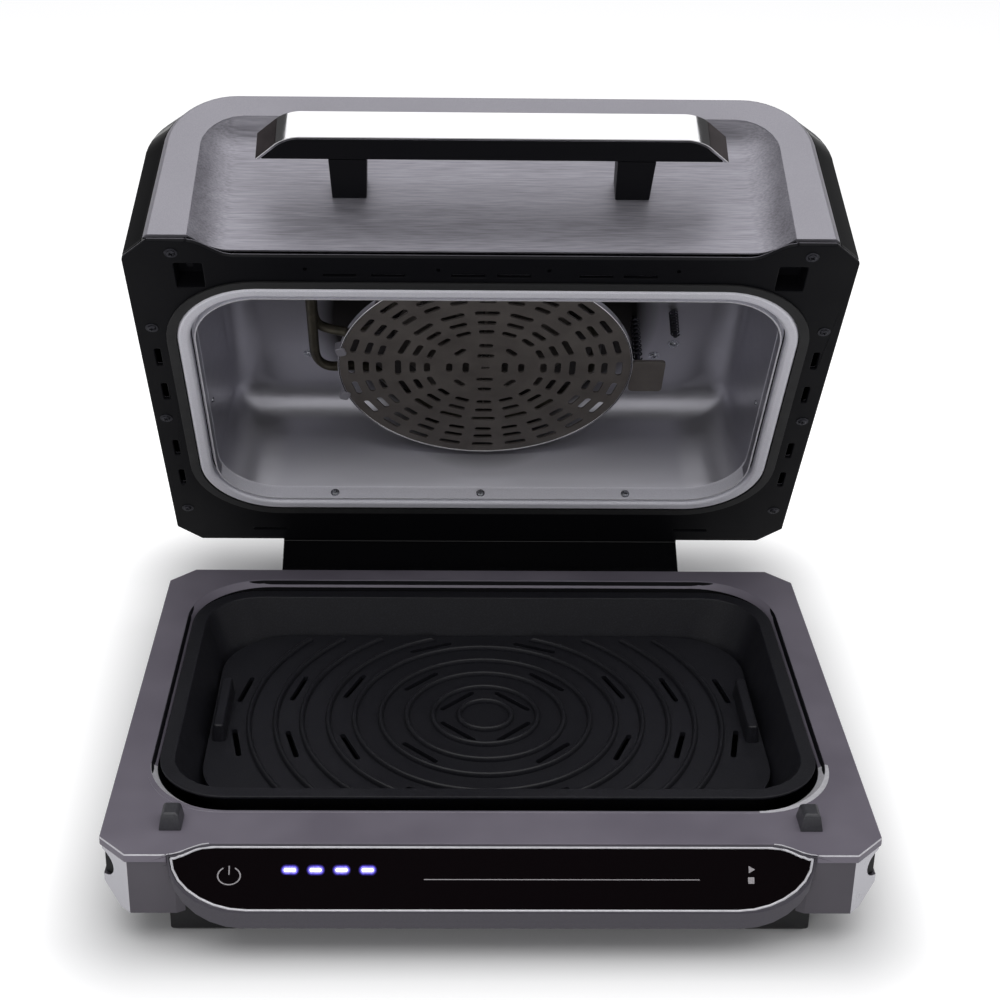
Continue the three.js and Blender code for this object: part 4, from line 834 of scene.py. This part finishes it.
GUARD_RADIUS = 96.6
GUARD_FACE = 94.7
GUARD_SHEET = 1.2
GUARD_SIDES = 160
GUARD_LAP = 0.8
GUARD_EDGE_WALL = 1.4
GUARD_EDGE_Z = (GUARD_FACE - 0.7, GUARD_FACE + 4)
GUARD_CUT_Z = (90, 105)
GUARD_SLOT_HALF = 2.1
GUARD_CENTRE_SLOT_HALVES = (2.8, 1.2)
GUARD_CENTRE_SLOT_CORNER = 1.1
# each ring's radius, its number of slots and their length
GUARD_RINGS = [(12.8, 4, 11.4), (23.6, 8, 9.5), (38.2, 16, 10.3), (47.6, 16, 12.0), (57.2, 16, 16.2),
               (69.6, 24, 11.4), (78.2, 24, 13.0), (87.7, 24, 14.8)]
CLIP_HALVES = (3.2, 4)
CLIP_Z = (-1.2, 5)
# each clip's place and how far it leans from straight, in radians
CLIPS = [(-94.0, 144, 0.3), (-93.0, 192, -0.35)]


def guard_punches():
    punches = [plate("punch", enamel, *oblong(GUARD_Y, *GUARD_CENTRE_SLOT_HALVES), GUARD_CUT_Z,
                     GUARD_CENTRE_SLOT_CORNER, steps=4)]
    for radius, count, length in GUARD_RINGS:
        first = plate("punch", enamel, (radius - GUARD_SLOT_HALF, radius + GUARD_SLOT_HALF),
                      (GUARD_Y - length / 2, GUARD_Y + length / 2), GUARD_CUT_Z,
                      GUARD_SLOT_HALF - NEARLY_ROUND, steps=5)
        turns = [turned(2 * math.pi * turn / count, GUARD_Y) for turn in range(1, count)]
        punches += [twin(first, "punch", turn) for turn in turns]
        punches.append(first)
    return gathered(punches)


guard = rod("slotted_guard", enamel, GUARD_RADIUS - GUARD_LAP, 0, GUARD_Y,
            (GUARD_FACE, GUARD_FACE + GUARD_SHEET), GUARD_SIDES)
carve(guard, guard_punches())
shade(guard)
settle(guard, "lid")
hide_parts("fan_guard")

guard_edge = rod("guard_rolled_edge", polished, GUARD_RADIUS, 0, GUARD_Y, GUARD_EDGE_Z, GUARD_SIDES)
carve(guard_edge, rod("bore", polished, GUARD_RADIUS - GUARD_EDGE_WALL, 0, GUARD_Y, GUARD_CUT_Z, GUARD_SIDES))
soften(guard_edge, width=0.6, segments=4)
shade(guard_edge)
settle(guard_edge, "lid")

for number, (x, y, lean) in enumerate(CLIPS, 1):
    clip = plate(f"guard_clip_{number}", silver, *oblong(0, *CLIP_HALVES), CLIP_Z, corner=2, steps=5)
    soften(clip, width=0.5, segments=3)
    shade(clip)
    clip.data.transform(Matrix.Translation(spot(x, y, GUARD_FACE)) @ Matrix.Rotation(-lean, 4, "Z"))
    settle(clip, "lid")

# The grate: a slab with ring ribs, slots along the rings, two lugs and four pegs

GRATE_Y = 175
GRATE_HALVES = (171.4, 99)
GRATE_Z = (33, 36)
GRATE_CORNER = 45
RIB_COUNT = 9
RIB_PITCH = 16.5
RIB_RADIUS = 1.8
RIB_HEIGHT = 3
RIB_FIELD_HALVES = (164.4, 92)
RIB_FIELD_CORNER = 38
RIB_FIELD_Z = (34, 45)
SLOT_FIELD_HALVES = (156.9, 92)
SLOT_HALVES = (1.75, 15)
SLOT_SPACING = 60
SLOT_CUT_Z = (30, 40)
LUG_X = 164.9
LUG_HALVES = (4.5, 30)
LUG_Z = (34, 47)
LUG_CORNER = 3
LUG_TOP_SHARES = (0.7, 0.94, 1)
PEG_RADIUS = 4
PEG_X = 133.4
PEG_Y = (114, 236)
PEG_Z = (18.8, 35)


def grate_punches():
    """Slots at even turns in every second gap between ribs, as many in each quarter as the spacing allows."""
    punches = []
    half_width, half_length = SLOT_HALVES
    for ring in range(1, RIB_COUNT + 1, 2):
        radius = (ring + 0.5) * RIB_PITCH
        count = 4 * max(1, math.floor(math.pi / 2 * radius / SLOT_SPACING))
        first = plate("punch", nonstick, (radius - half_width, radius + half_width),
                      (GRATE_Y - half_length, GRATE_Y + half_length), SLOT_CUT_Z,
                      half_width - NEARLY_ROUND, steps=5)
        for turn in range(count):
            angle = (turn + 0.5) * 2 * math.pi / count
            ends = [angle - half_length / radius, angle + half_length / radius]
            if all(abs(radius * math.cos(end)) < SLOT_FIELD_HALVES[0]
                   and abs(radius * math.sin(end)) < SLOT_FIELD_HALVES[1] for end in ends):
                punches.append(twin(first, "punch", turned(angle, GRATE_Y)))
        scrap(first)
    return gathered(punches)


def grate_ribs():
    """Rings of half-round rib, the outer ones cut off at the border of the ribbed field."""
    ribs = []
    for ring in range(1, RIB_COUNT + 1):
        radius = ring * RIB_PITCH
        pick()
        bpy.ops.mesh.primitive_torus_add(location=spot(0, GRATE_Y, GRATE_Z[1]), major_segments=128,
                                         minor_segments=14, major_radius=mm(radius),
                                         minor_radius=mm(RIB_RADIUS))
        rib = bpy.context.object
        bpy.ops.transform.resize(value=(1, 1, RIB_HEIGHT / RIB_RADIUS))
        place_in_mesh()
        named(rib, "rib", nonstick)
        if radius + RIB_RADIUS > RIB_FIELD_HALVES[1]:
            field = plate("field", nonstick, *oblong(GRATE_Y, *RIB_FIELD_HALVES), RIB_FIELD_Z,
                          RIB_FIELD_CORNER)
            carve(rib, field, "INTERSECT")
        ribs.append(rib)
    return ribs


def grate_lug(side):
    half_width, half_length = LUG_HALVES
    lug = plate("lug", nonstick, (side * LUG_X - half_width, side * LUG_X + half_width),
                (GRATE_Y - half_length, GRATE_Y + half_length), LUG_Z, LUG_CORNER, steps=4)
    resize(lug, faces_up, LUG_TOP_SHARES)
    soften(lug, width=1.2, segments=3)
    return lug


grate = plate("grill_grate", nonstick, *oblong(GRATE_Y, *GRATE_HALVES), GRATE_Z, GRATE_CORNER)
carve(grate, grate_punches())
lugs = [grate_lug(side) for side in (-1, 1)]
pegs = [rod("peg", nonstick, PEG_RADIUS, x, y, PEG_Z, sides=24) for x in (-PEG_X, PEG_X) for y in PEG_Y]
gathered([*lugs, *pegs, *grate_ribs(), grate])
shade(grate)
settle(grate, "grate")
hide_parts("grate")

# The handle's front: a polished strip bent round its core, with a painted dark reflection on its two sloped
# ends

HANDLE_HALF = 137.5
HANDLE_SHOULDER = 111
HANDLE_SLOPE = math.radians(46)
HANDLE_BACK = -20
HANDLE_DEPTH = 18.5
HANDLE_Z = (108.6, 129.6)
HANDLE_SHEET = 2
END_NORMAL_SHARE = 0.68


def bent_bar(inset):
    """The handle's outline, this far inside its surface, with two sloped ends and round shoulders."""
    half = HANDLE_HALF - inset / math.sin(HANDLE_SLOPE)
    depth = HANDLE_DEPTH - inset
    corner = half - depth / math.tan(HANDLE_SLOPE)
    bar = plate("bent_bar", polished, (-half, half), (HANDLE_BACK - depth, HANDLE_BACK),
                (HANDLE_Z[0] - inset, HANDLE_Z[1] + inset))
    resize(bar, faces_front, (corner / half, 1, 1), center_override=ORIGIN)
    round_edges(bar, lambda edge: edge.verts[0].co.y < mm(HANDLE_BACK - depth / 2) and stands_upright(edge),
                corner - HANDLE_SHOULDER, 14)
    return bar


strip = named(carve(bent_bar(0), bent_bar(HANDLE_SHEET)), "handle_front_strip", polished)
soften(strip, width=0.5, segments=3)
shade(strip)
# the sloped ends take the painted dark reflection
coat_faces(strip, end_painted_reflection, lambda face: abs(face.normal.x) > END_NORMAL_SHARE)
settle(strip, "lid")
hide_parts("handle_cover")

# The lid's front: a brushed sheet that dishes in behind its surround, modelled lying down with up along y

LID_FRONT_FOOT = 68.2
PANEL_HALF = 176.5
PANEL_Y = (14.1, 163.5)
PANEL_Z = (-3, -0.05)
PANEL_CORNER = 24.5
PANEL_DISH = 13
PANEL_RUN = 23.4
PANEL_STEPS = 14
PANEL_TAPER_SHARE = 0.9825
PANEL_UPPER = 100
PANEL_SHEET = 1.4


def dished(share):
    """The dish's depth at this share of its run: steep at the edge and level where it meets the flat."""
    return PANEL_DISH * share * (2 - share)


sheet_front = plate("lid_front_sheet", brushed, (-PANEL_HALF, PANEL_HALF), PANEL_Y, PANEL_Z, PANEL_CORNER,
                    steps=16)
open_up(sheet_front, lambda face: not faces_up(face))
edit_faces(sheet_front, everything)
for step in range(PANEL_STEPS):
    bpy.ops.mesh.inset(thickness=mm(PANEL_RUN / PANEL_STEPS),
                       depth=mm(dished(step / PANEL_STEPS) - dished((step + 1) / PANEL_STEPS)))
leave_edit()
resize(sheet_front, lambda edge: all(vert.co.y > mm(PANEL_UPPER) for vert in edge.verts),
       (PANEL_TAPER_SHARE, 1, 1), "edges", center_override=ORIGIN)
edit_faces(sheet_front, everything)
bpy.ops.mesh.bisect(plane_co=spot(0, LID_FRONT_FOOT, 0), plane_no=(0, 1, 0), clear_inner=True)
leave_edit()
modify(sheet_front, "SOLIDIFY", thickness=mm(PANEL_SHEET), offset=-1)
shade(sheet_front, ROUND_UNDER)
sheet_front.data.transform(Matrix.Rotation(math.pi / 2, 4, "X"))
settle(sheet_front, "lid")
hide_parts("front_panel")

# Second finishes on the dressed pieces, told apart by the way their faces point

TO_SHUT = LID_PLACE.to_3x3().inverted()
SLANT_NEAR_SHARE = 0.25
SKIRT_FRONT_SHARE = -0.5
DECK_SLOPE_SHARES = (0.25, 0.97)
DECK_FRONT_SHARE = -0.2
DECK_FRONT_Y = 30
DECK_GLASS_HALF = 128
HOOD_SIDE_SHARE = 0.6
HOOD_UPRIGHT_SHARE = 0.3
COVER_FRONT_SHARE = -0.3
COVER_UP_SHARE = 0.25
COVER_HOLE_X = (-109, -31, 34, 110)
COVER_HOLE_Y = 24
COVER_HOLE_RADIUS = 1.4
COVER_CUT_Z = (60, 66)

# The skirt's two front corners get the lighter silver copy: a painted highlight
coat_faces(bpy.data.objects["skirt_panel"], corner_highlight_silver,
           lambda face: abs(abs(face.normal.x) + face.normal.y) < SLANT_NEAR_SHARE
           and face.normal.y < SKIRT_FRONT_SHARE)

# The plate's front edge is painted pale, a painted highlight, as a thin bright line on each side of the glass
coat_faces(bpy.data.objects["deck_plate"], edge_highlight_paint,
           lambda face: DECK_SLOPE_SHARES[0] < face.normal.z < DECK_SLOPE_SHARES[1]
           and face.normal.y < DECK_FRONT_SHARE
           and face.calc_center_median().y < mm(DECK_FRONT_Y - FRONT_TO_MIDDLE)
           and abs(face.calc_center_median().x) > mm(DECK_GLASS_HALF))

# The hood's flat sides and front corners get a copy of its black that hardly reflects: painted shade, darker
# than its rounded top
coat_faces(bpy.data.objects["lid_hood"], hood_side_painted_shade,
           lambda face: abs(face.normal.x) > HOOD_SIDE_SHARE
           and abs((TO_SHUT @ face.normal).z) < HOOD_UPRIGHT_SHARE)

# The cover has four small holes in its front strip, and its upper front edge gets a painted highlight
under_cover = bpy.data.objects["lid_under_cover"]
holes = gathered([rod("hole", satin_black, COVER_HOLE_RADIUS, x, COVER_HOLE_Y, COVER_CUT_Z, sides=20)
                  for x in COVER_HOLE_X])
holes.data.transform(LID_PLACE)
carve(under_cover, holes)
shade(under_cover)
coat_faces(under_cover, cover_edge_highlight,
           lambda face: (TO_SHUT @ face.normal).y < COVER_FRONT_SHARE
           and (TO_SHUT @ face.normal).z > COVER_UP_SHARE)

# The surround ends a little above the cover, which leaves the dark joint line round the lid's foot
surround_front = bpy.data.objects["lid_front_surround"]
edit_faces(surround_front, everything)
bpy.ops.mesh.bisect(plane_co=LID_PLACE @ spot(0, 0, LID_FRONT_FOOT), plane_no=LID_PLACE.col[2].xyz,
                    clear_inner=True, use_fill=True)
leave_edit()
shade(surround_front)

# The lid's cavity: a broad rolled surround with a groove behind it, and a shell drawn from one sheet, which
# has a short upright wall, a sloped wall and a flat roof with soft bends

SURROUND_HALVES = (191, 120)
SURROUND_Z = (61.5, 69.5)
SURROUND_CORNER = 52
SURROUND_WALL = 8.1
BAND_INSET = 8.4
BAND_Z = (68.7, 69.5)
BAND_WALL = 2.7
SHELL_HALVES = (179.7, 108.7)
SHELL_CORNER = 40.9
SHELL_BEND = 72
UPRIGHT_TOP = 71
SHELL_ROOF_HALVES = (167.7, 88.2)
SHELL_ROOF_BEND = 18
SHELL_WALL_BEND = 0.9
SHELL_SHEET = 0.9
BAND_SLOPE_SHARE = 0.02
# the holes for the heater's two ends and the fan's shaft: x, y and radius
ROOF_HOLES = [(-112, 84.1, 4.4), (-112, 96.1, 4.4), (0, GUARD_Y, 8)]
ROOF_CUT_Z = (125, 140)

surround = hoop("cavity_surround", anodised_and_highlight, SURROUND_HALVES, SURROUND_Z, SURROUND_CORNER, SURROUND_WALL)
soften(surround, width=2.4, segments=5)
inner_band = hoop("inner_band", anodised_and_highlight, [half - BAND_INSET for half in SURROUND_HALVES], BAND_Z,
                  SURROUND_CORNER - BAND_INSET, BAND_WALL)
gathered([inner_band, surround])
shade(surround)
settle(surround, "lid")
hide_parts("cavity_frame")

# the shell's steel carries the painted shade round the fan's axis
shell = plate("cavity_shell", cavity_steel_painted_shade, *oblong(GUARD_Y, *SHELL_HALVES), (LID_BOTTOM, SHELL_BEND),
              SHELL_CORNER, steps=16)
edit_faces(shell, faces_up)
bpy.ops.mesh.extrude_region_move(TRANSFORM_OT_translate={"value": spot(0, 0, SHELL_ROOF - SHELL_BEND)})
bpy.ops.transform.resize(value=(*(roof / wall for roof, wall in zip(SHELL_ROOF_HALVES, SHELL_HALVES)), 1))
leave_edit()
open_up(shell, faces_down)
round_edges(shell, at_height(SHELL_ROOF), SHELL_ROOF_BEND, 8)
# the bend, the upright walls in front and behind, and the sheet's cut rim are painted pale: a painted
# highlight
round_edges(shell, at_height(SHELL_BEND), SHELL_WALL_BEND, 3, anodised_and_highlight)
coat_faces(shell, anodised_and_highlight, lambda face: face.calc_center_median().z < mm(UPRIGHT_TOP)
           and face.normal.y * (face.calc_center_median().y - mm(GUARD_Y)) > BAND_SLOPE_SHARE)
shell.data.materials.append(edge_highlight_paint)
modify(shell, "SOLIDIFY", thickness=mm(SHELL_SHEET), offset=1, material_offset_rim=2)
for x, y, radius in ROOF_HOLES:
    carve(shell, rod("bore", zinc, radius, x, y, ROOF_CUT_Z, sides=24))
shade(shell, ROUND_UNDER)
settle(shell, "lid")
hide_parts("cavity_liner")

# In the cavity: the heater's tube, the probe in its coil, and the tab that carries the guard's right side

HEATER_SWELL = 0.5
WIRE_RADIUS = 0.55
WIRE_STEPS = 16
COIL_START = 2
COIL_SHARE = 0.85
PROBE_PLACE = (125, 150)
PROBE_TIP = 113
PROBE_RADIUS = 1.5
PROBE_TURNS = 8
TAB_X = (96, 118.4)
TAB_Y = (156, 188)
TAB_Z = (96.2, 98.7)
POST_PLACE = (100, 157)
POST_FOOT = 98.5
POST_RADIUS = 1.8
POST_TURNS = 9


def smooth_tube(node_name, name, material, swell_mm):
    """The node's coarse tube as a round one: smoothed, and then swelled back to its thickness."""
    piece = merged_copy(node_name, name, material, whole_faces=False)
    modify(piece, "SUBSURF", levels=2, render_levels=2)
    edit_faces(piece, everything)
    bpy.ops.transform.shrink_fatten(value=mm(swell_mm))
    leave_edit()
    shade(piece, ROUND_UNDER)
    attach(piece, frame["nodes"][node_name]["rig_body"])
    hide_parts(node_name)
    return piece


def coiled_rod(name, material, radius, x, y, z, turns):
    """A rod in a coil of wire, with half the wire's thickness free between them."""
    core = rod(name, material, radius, x, y, z, sides=20)
    soften(core, width=0.4, segments=2)
    pick()
    bpy.ops.mesh.primitive_circle_add(vertices=10, radius=mm(WIRE_RADIUS),
                                      location=spot(radius + 2 * WIRE_RADIUS, 0, 0),
                                      rotation=(math.pi / 2, 0, 0))
    coil = bpy.context.object
    place_in_mesh()
    modify(coil, "SCREW", angle=2 * math.pi * turns, screw_offset=mm((z[1] - z[0]) * COIL_SHARE),
           steps=WIRE_STEPS * turns, render_steps=WIRE_STEPS * turns, axis="Z")
    coil.data.transform(Matrix.Translation(spot(x, y, z[0] + COIL_START)))
    named(coil, "coil", material)
    mend_normals(coil)
    return gathered([coil, core])


smooth_tube("heater", "heater_element", sheath, HEATER_SWELL)

probe = coiled_rod("sensor_probe", black_oxide, PROBE_RADIUS, *PROBE_PLACE, (PROBE_TIP, SHELL_ROOF),
                   PROBE_TURNS)
shade(probe)
settle(probe, "lid")
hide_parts("temperature_sensor")

tab = plate("guard_tab", enamel, TAB_X, TAB_Y, TAB_Z, corner=3, steps=6)
soften(tab, width=0.5, segments=3)
post = coiled_rod("post", black_oxide, POST_RADIUS, *POST_PLACE, (POST_FOOT, SHELL_ROOF), POST_TURNS)
gathered([post, tab])
shade(tab)
settle(tab, "lid")
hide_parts("guard_bracket")

# Screws, with a cross cut in a rounded head over a ring

HEAD_Z = (-1, 1.3)
HEAD_ROUNDING = 0.9
CROSS_REACH_SHARE = 0.62
CROSS_HALF_WIDTH = 0.4
CROSS_Z = (0.2, 2)
RING_Z = (-0.6, 0.45)
SCREW_SIDES = 28
# the head's radius and its ring's
COVER_HEAD = (2.6, 4.0)
WALL_HEAD = (2.2, 3.0)
SCREW_TURN = 0.5
DOWN = Matrix.Rotation(math.pi, 4, "X")
FRONTWARD = Matrix.Rotation(math.pi / 2, 4, "X")
RIGHTWARD = Matrix.Rotation(math.pi / 2, 4, "Y")
LEFTWARD = Matrix.Rotation(-math.pi / 2, 4, "Y")
COVER_SCREWS = [(-185.6, 10), (186.1, 10), (-205, 80), (205, 80), (-207.3, 174.7), (207.3, 174.7),
                (-205, 283), (205, 283)]
ROOF_SCREWS = [(117, 199), (129, 186), (-119, 199)]
REAR_WALL = 269.7
REAR_SCREWS_X = (-102, -1, 99.7)
REAR_SCREW_Z = 67.5
SIDE_WALL = 179.2
SIDE_SCREW = (176, 79)
SCREWS = {
    "cover_screw": (black_oxide, COVER_HEAD, DOWN, [(x, y, LID_BOTTOM) for x, y in COVER_SCREWS]),
    "roof_screw": (zinc, COVER_HEAD, DOWN, [(x, y, SHELL_ROOF) for x, y in ROOF_SCREWS]),
    "rear_wall_screw": (zinc, WALL_HEAD, FRONTWARD, [(x, REAR_WALL, REAR_SCREW_Z) for x in REAR_SCREWS_X]),
    "left_wall_screw": (zinc, WALL_HEAD, RIGHTWARD, [(-SIDE_WALL, *SIDE_SCREW)]),
    "right_wall_screw": (zinc, WALL_HEAD, LEFTWARD, [(SIDE_WALL, *SIDE_SCREW)]),
}


def screw_model(material, radius, ring_radius):
    head = rod("screw", material, radius, 0, 0, HEAD_Z, SCREW_SIDES)
    round_edges(head, at_height(HEAD_Z[1]), HEAD_ROUNDING, 4)
    reach = radius * CROSS_REACH_SHARE
    for halves in ((reach, CROSS_HALF_WIDTH), (CROSS_HALF_WIDTH, reach)):
        carve(head, plate("cut", material, *oblong(0, *halves), CROSS_Z))
    ring = rod("ring", material, ring_radius, 0, 0, RING_Z, SCREW_SIDES)
    soften(ring, width=0.25, segments=2)
    gathered([ring, head])
    return head


for name, (material, radii, turn, places) in SCREWS.items():
    model = screw_model(material, *radii)
    for number, place in enumerate(places, 1):
        turn_about = Matrix.Rotation(SCREW_TURN * number, 4, "Z")
        screw = twin(model, f"{name}_{number}", Matrix.Translation(spot(*place)) @ turn @ turn_about)
        shade(screw)
        settle(screw, "lid")
    scrap(model)

# The base: a lip round the bay with a flared mouth, painted pale in the mouth and at its front as a painted
# highlight, and a pale bead round the glass, a painted highlight too

LIP_Y = 174.5
LIP_HALVES = (198.1, 135.6)
LIP_Z = (56.4, 60.2)
LIP_CORNER = 47.1
MOUTH_HALVES = (193.2, 130.7)
MOUTH_TOP_HALVES = (196.9, 134.4)
MOUTH_Z = (56.3, 60.4)
MOUTH_CORNER = 48.8
LIP_BRIGHT_TO = 86
GLASS_TILT = math.radians(49.4)
GLASS_NORMAL = Vector((0, -math.sin(GLASS_TILT), math.cos(GLASS_TILT)))
GLASS_NEAR_SHARE = 0.8
BEAD_RADIUS = 0.75

lip = plate("bay_lip", powder_grey, *oblong(LIP_Y, *LIP_HALVES), LIP_Z, LIP_CORNER, WIDE_CORNER_STEPS)
mouth = plate("mouth", edge_highlight_paint, *oblong(LIP_Y, *MOUTH_HALVES), MOUTH_Z, MOUTH_CORNER, WIDE_CORNER_STEPS)
resize(mouth, faces_up, (*(top / foot for top, foot in zip(MOUTH_TOP_HALVES, MOUTH_HALVES)), 1))
carve(lip, mouth)
coat_faces(lip, edge_highlight_paint, lambda face: face.calc_center_median().y < mm(LIP_BRIGHT_TO))
shade(lip)
settle(lip, "base")


def edge_bead(node_name, name, material, test, radius_mm):
    """A bead that follows the outline of a node's faces that pass the test."""
    piece = merged_copy(node_name, name, material)
    edit_faces(piece, test)
    bpy.ops.mesh.region_to_loop()
    bpy.ops.mesh.select_mode(type="EDGE")
    bpy.ops.mesh.select_all(action="INVERT")
    bpy.ops.mesh.delete(type="EDGE")
    leave_edit()
    bpy.ops.object.convert(target="CURVE")
    piece.data.bevel_depth = mm(radius_mm)
    piece.data.bevel_resolution = 3
    bpy.ops.object.convert(target="MESH")
    shade(piece, ROUND_UNDER)
    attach(piece, frame["nodes"][node_name]["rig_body"])
    return named(piece, name, material)


# a pale bead where the bezel's edge catches the light: a painted highlight
bead = edge_bead("touch_glass", "glass_bead", edge_highlight_paint,
                 lambda face: face.normal.dot(GLASS_NORMAL) > GLASS_NEAR_SHARE, BEAD_RADIUS)

# What is printed and lit on the glass, modelled flat: right, up along the face and out of it

POD_TOP = (0, 10, 60)
GLASS_SUNK = 0.82
GLASS_PLACE = (
    Matrix.Translation(spot(*POD_TOP))
    @ Matrix.Rotation(GLASS_TILT, 4, "X")
    @ Matrix.Translation(spot(0, 0, -GLASS_SUNK))
)
LED_X = (-109.9, -95.9, -81.9, -67.7)
LED_HALF = 3.3
LED_Y = (-14.9, -12.8)
LED_Z = (0.05, 0.16)
HALO_Y = (-15.0, -12.7)
HALO_REACH = 2.2
HALO_STEP = 0.5
HALO_THICKNESS = 0.04
HALO_LAYER = 0.025
HALO_CORNER = 1.1
POWER_X = -142.8
POWER_Y = -17
POWER_RADII = (5.9, 5.2)
POWER_GAP_HALF = 2.8
POWER_GAP_Y = (-13.2, -8)
POWER_STROKE_HALF = 0.3
POWER_STROKE_Y = (-16.4, -10.6)
POWER_Z = (-0.1, 0.3)
POWER_CUT_Z = (-1, 1)
POWER_SHARES = (1.1, 0.84, 1)
SLIDER_X = (-37.2, 112.9)
SLIDER_Y = (-19.02, -18.58)
SLIDER_Z = (0, 0.12)
SIGN_X = 141
SIGN_Z = (0, 0.14)
PLAY_RADIUS = 2.3
PLAY_Y = -13.3
PLAY_ROUNDING = 0.03
STOP_HALF = 1.7
STOP_Y = -19.1


def on_glass(piece):
    piece.data.transform(GLASS_PLACE)
    return settle(piece, "base")


def power_symbol():
    """A ring with a gap at its top and an upright stroke in the gap."""
    outer, inner = POWER_RADII
    arc = rod("power_symbol", ink, outer, POWER_X, POWER_Y, POWER_Z, sides=64)
    carve(arc, rod("bore", ink, inner, POWER_X, POWER_Y, POWER_CUT_Z, sides=64))
    carve(arc, plate("cut", ink, (POWER_X - POWER_GAP_HALF, POWER_X + POWER_GAP_HALF), POWER_GAP_Y,
                     POWER_CUT_Z))
    stroke = plate("stroke", ink, (POWER_X - POWER_STROKE_HALF, POWER_X + POWER_STROKE_HALF), POWER_STROKE_Y,
                   POWER_Z, corner=0.29, steps=4)
    symbol = gathered([stroke, arc])
    resize(symbol, everything, POWER_SHARES, center_override=spot(POWER_X, POWER_Y, 0))
    return symbol


def play_symbol():
    sign = rod("play_symbol", ink, PLAY_RADIUS, 0, 0, SIGN_Z, sides=3)
    sign.data.transform(Matrix.Translation(spot(SIGN_X, PLAY_Y, 0)) @ Matrix.Rotation(-math.pi / 2, 4, "Z"))
    soften(sign, width=PLAY_ROUNDING, segments=1)
    return sign


for number, x in enumerate(LED_X, 1):
    for ring, halo in enumerate(led_halos):
        reach = HALO_REACH - HALO_STEP * ring
        half = LED_HALF + reach
        on_glass(plate(f"led_halo_{number}_{ring + 1}", halo, (x - half, x + half),
                       (HALO_Y[0] - reach, HALO_Y[1] + reach), (0, HALO_THICKNESS + HALO_LAYER * ring),
                       corner=HALO_CORNER + reach, steps=8))
    on_glass(plate(f"led_window_{number}", led_light, (x - LED_HALF, x + LED_HALF), LED_Y, LED_Z, corner=1.0,
                   steps=8))

on_glass(power_symbol())
on_glass(plate("slider_line", ink, SLIDER_X, SLIDER_Y, SLIDER_Z, corner=0.2, steps=3))
on_glass(play_symbol())
on_glass(plate("stop_symbol", ink, (SIGN_X - STOP_HALF, SIGN_X + STOP_HALF),
               (STOP_Y - STOP_HALF, STOP_Y + STOP_HALF), SIGN_Z, corner=0.3, steps=3))
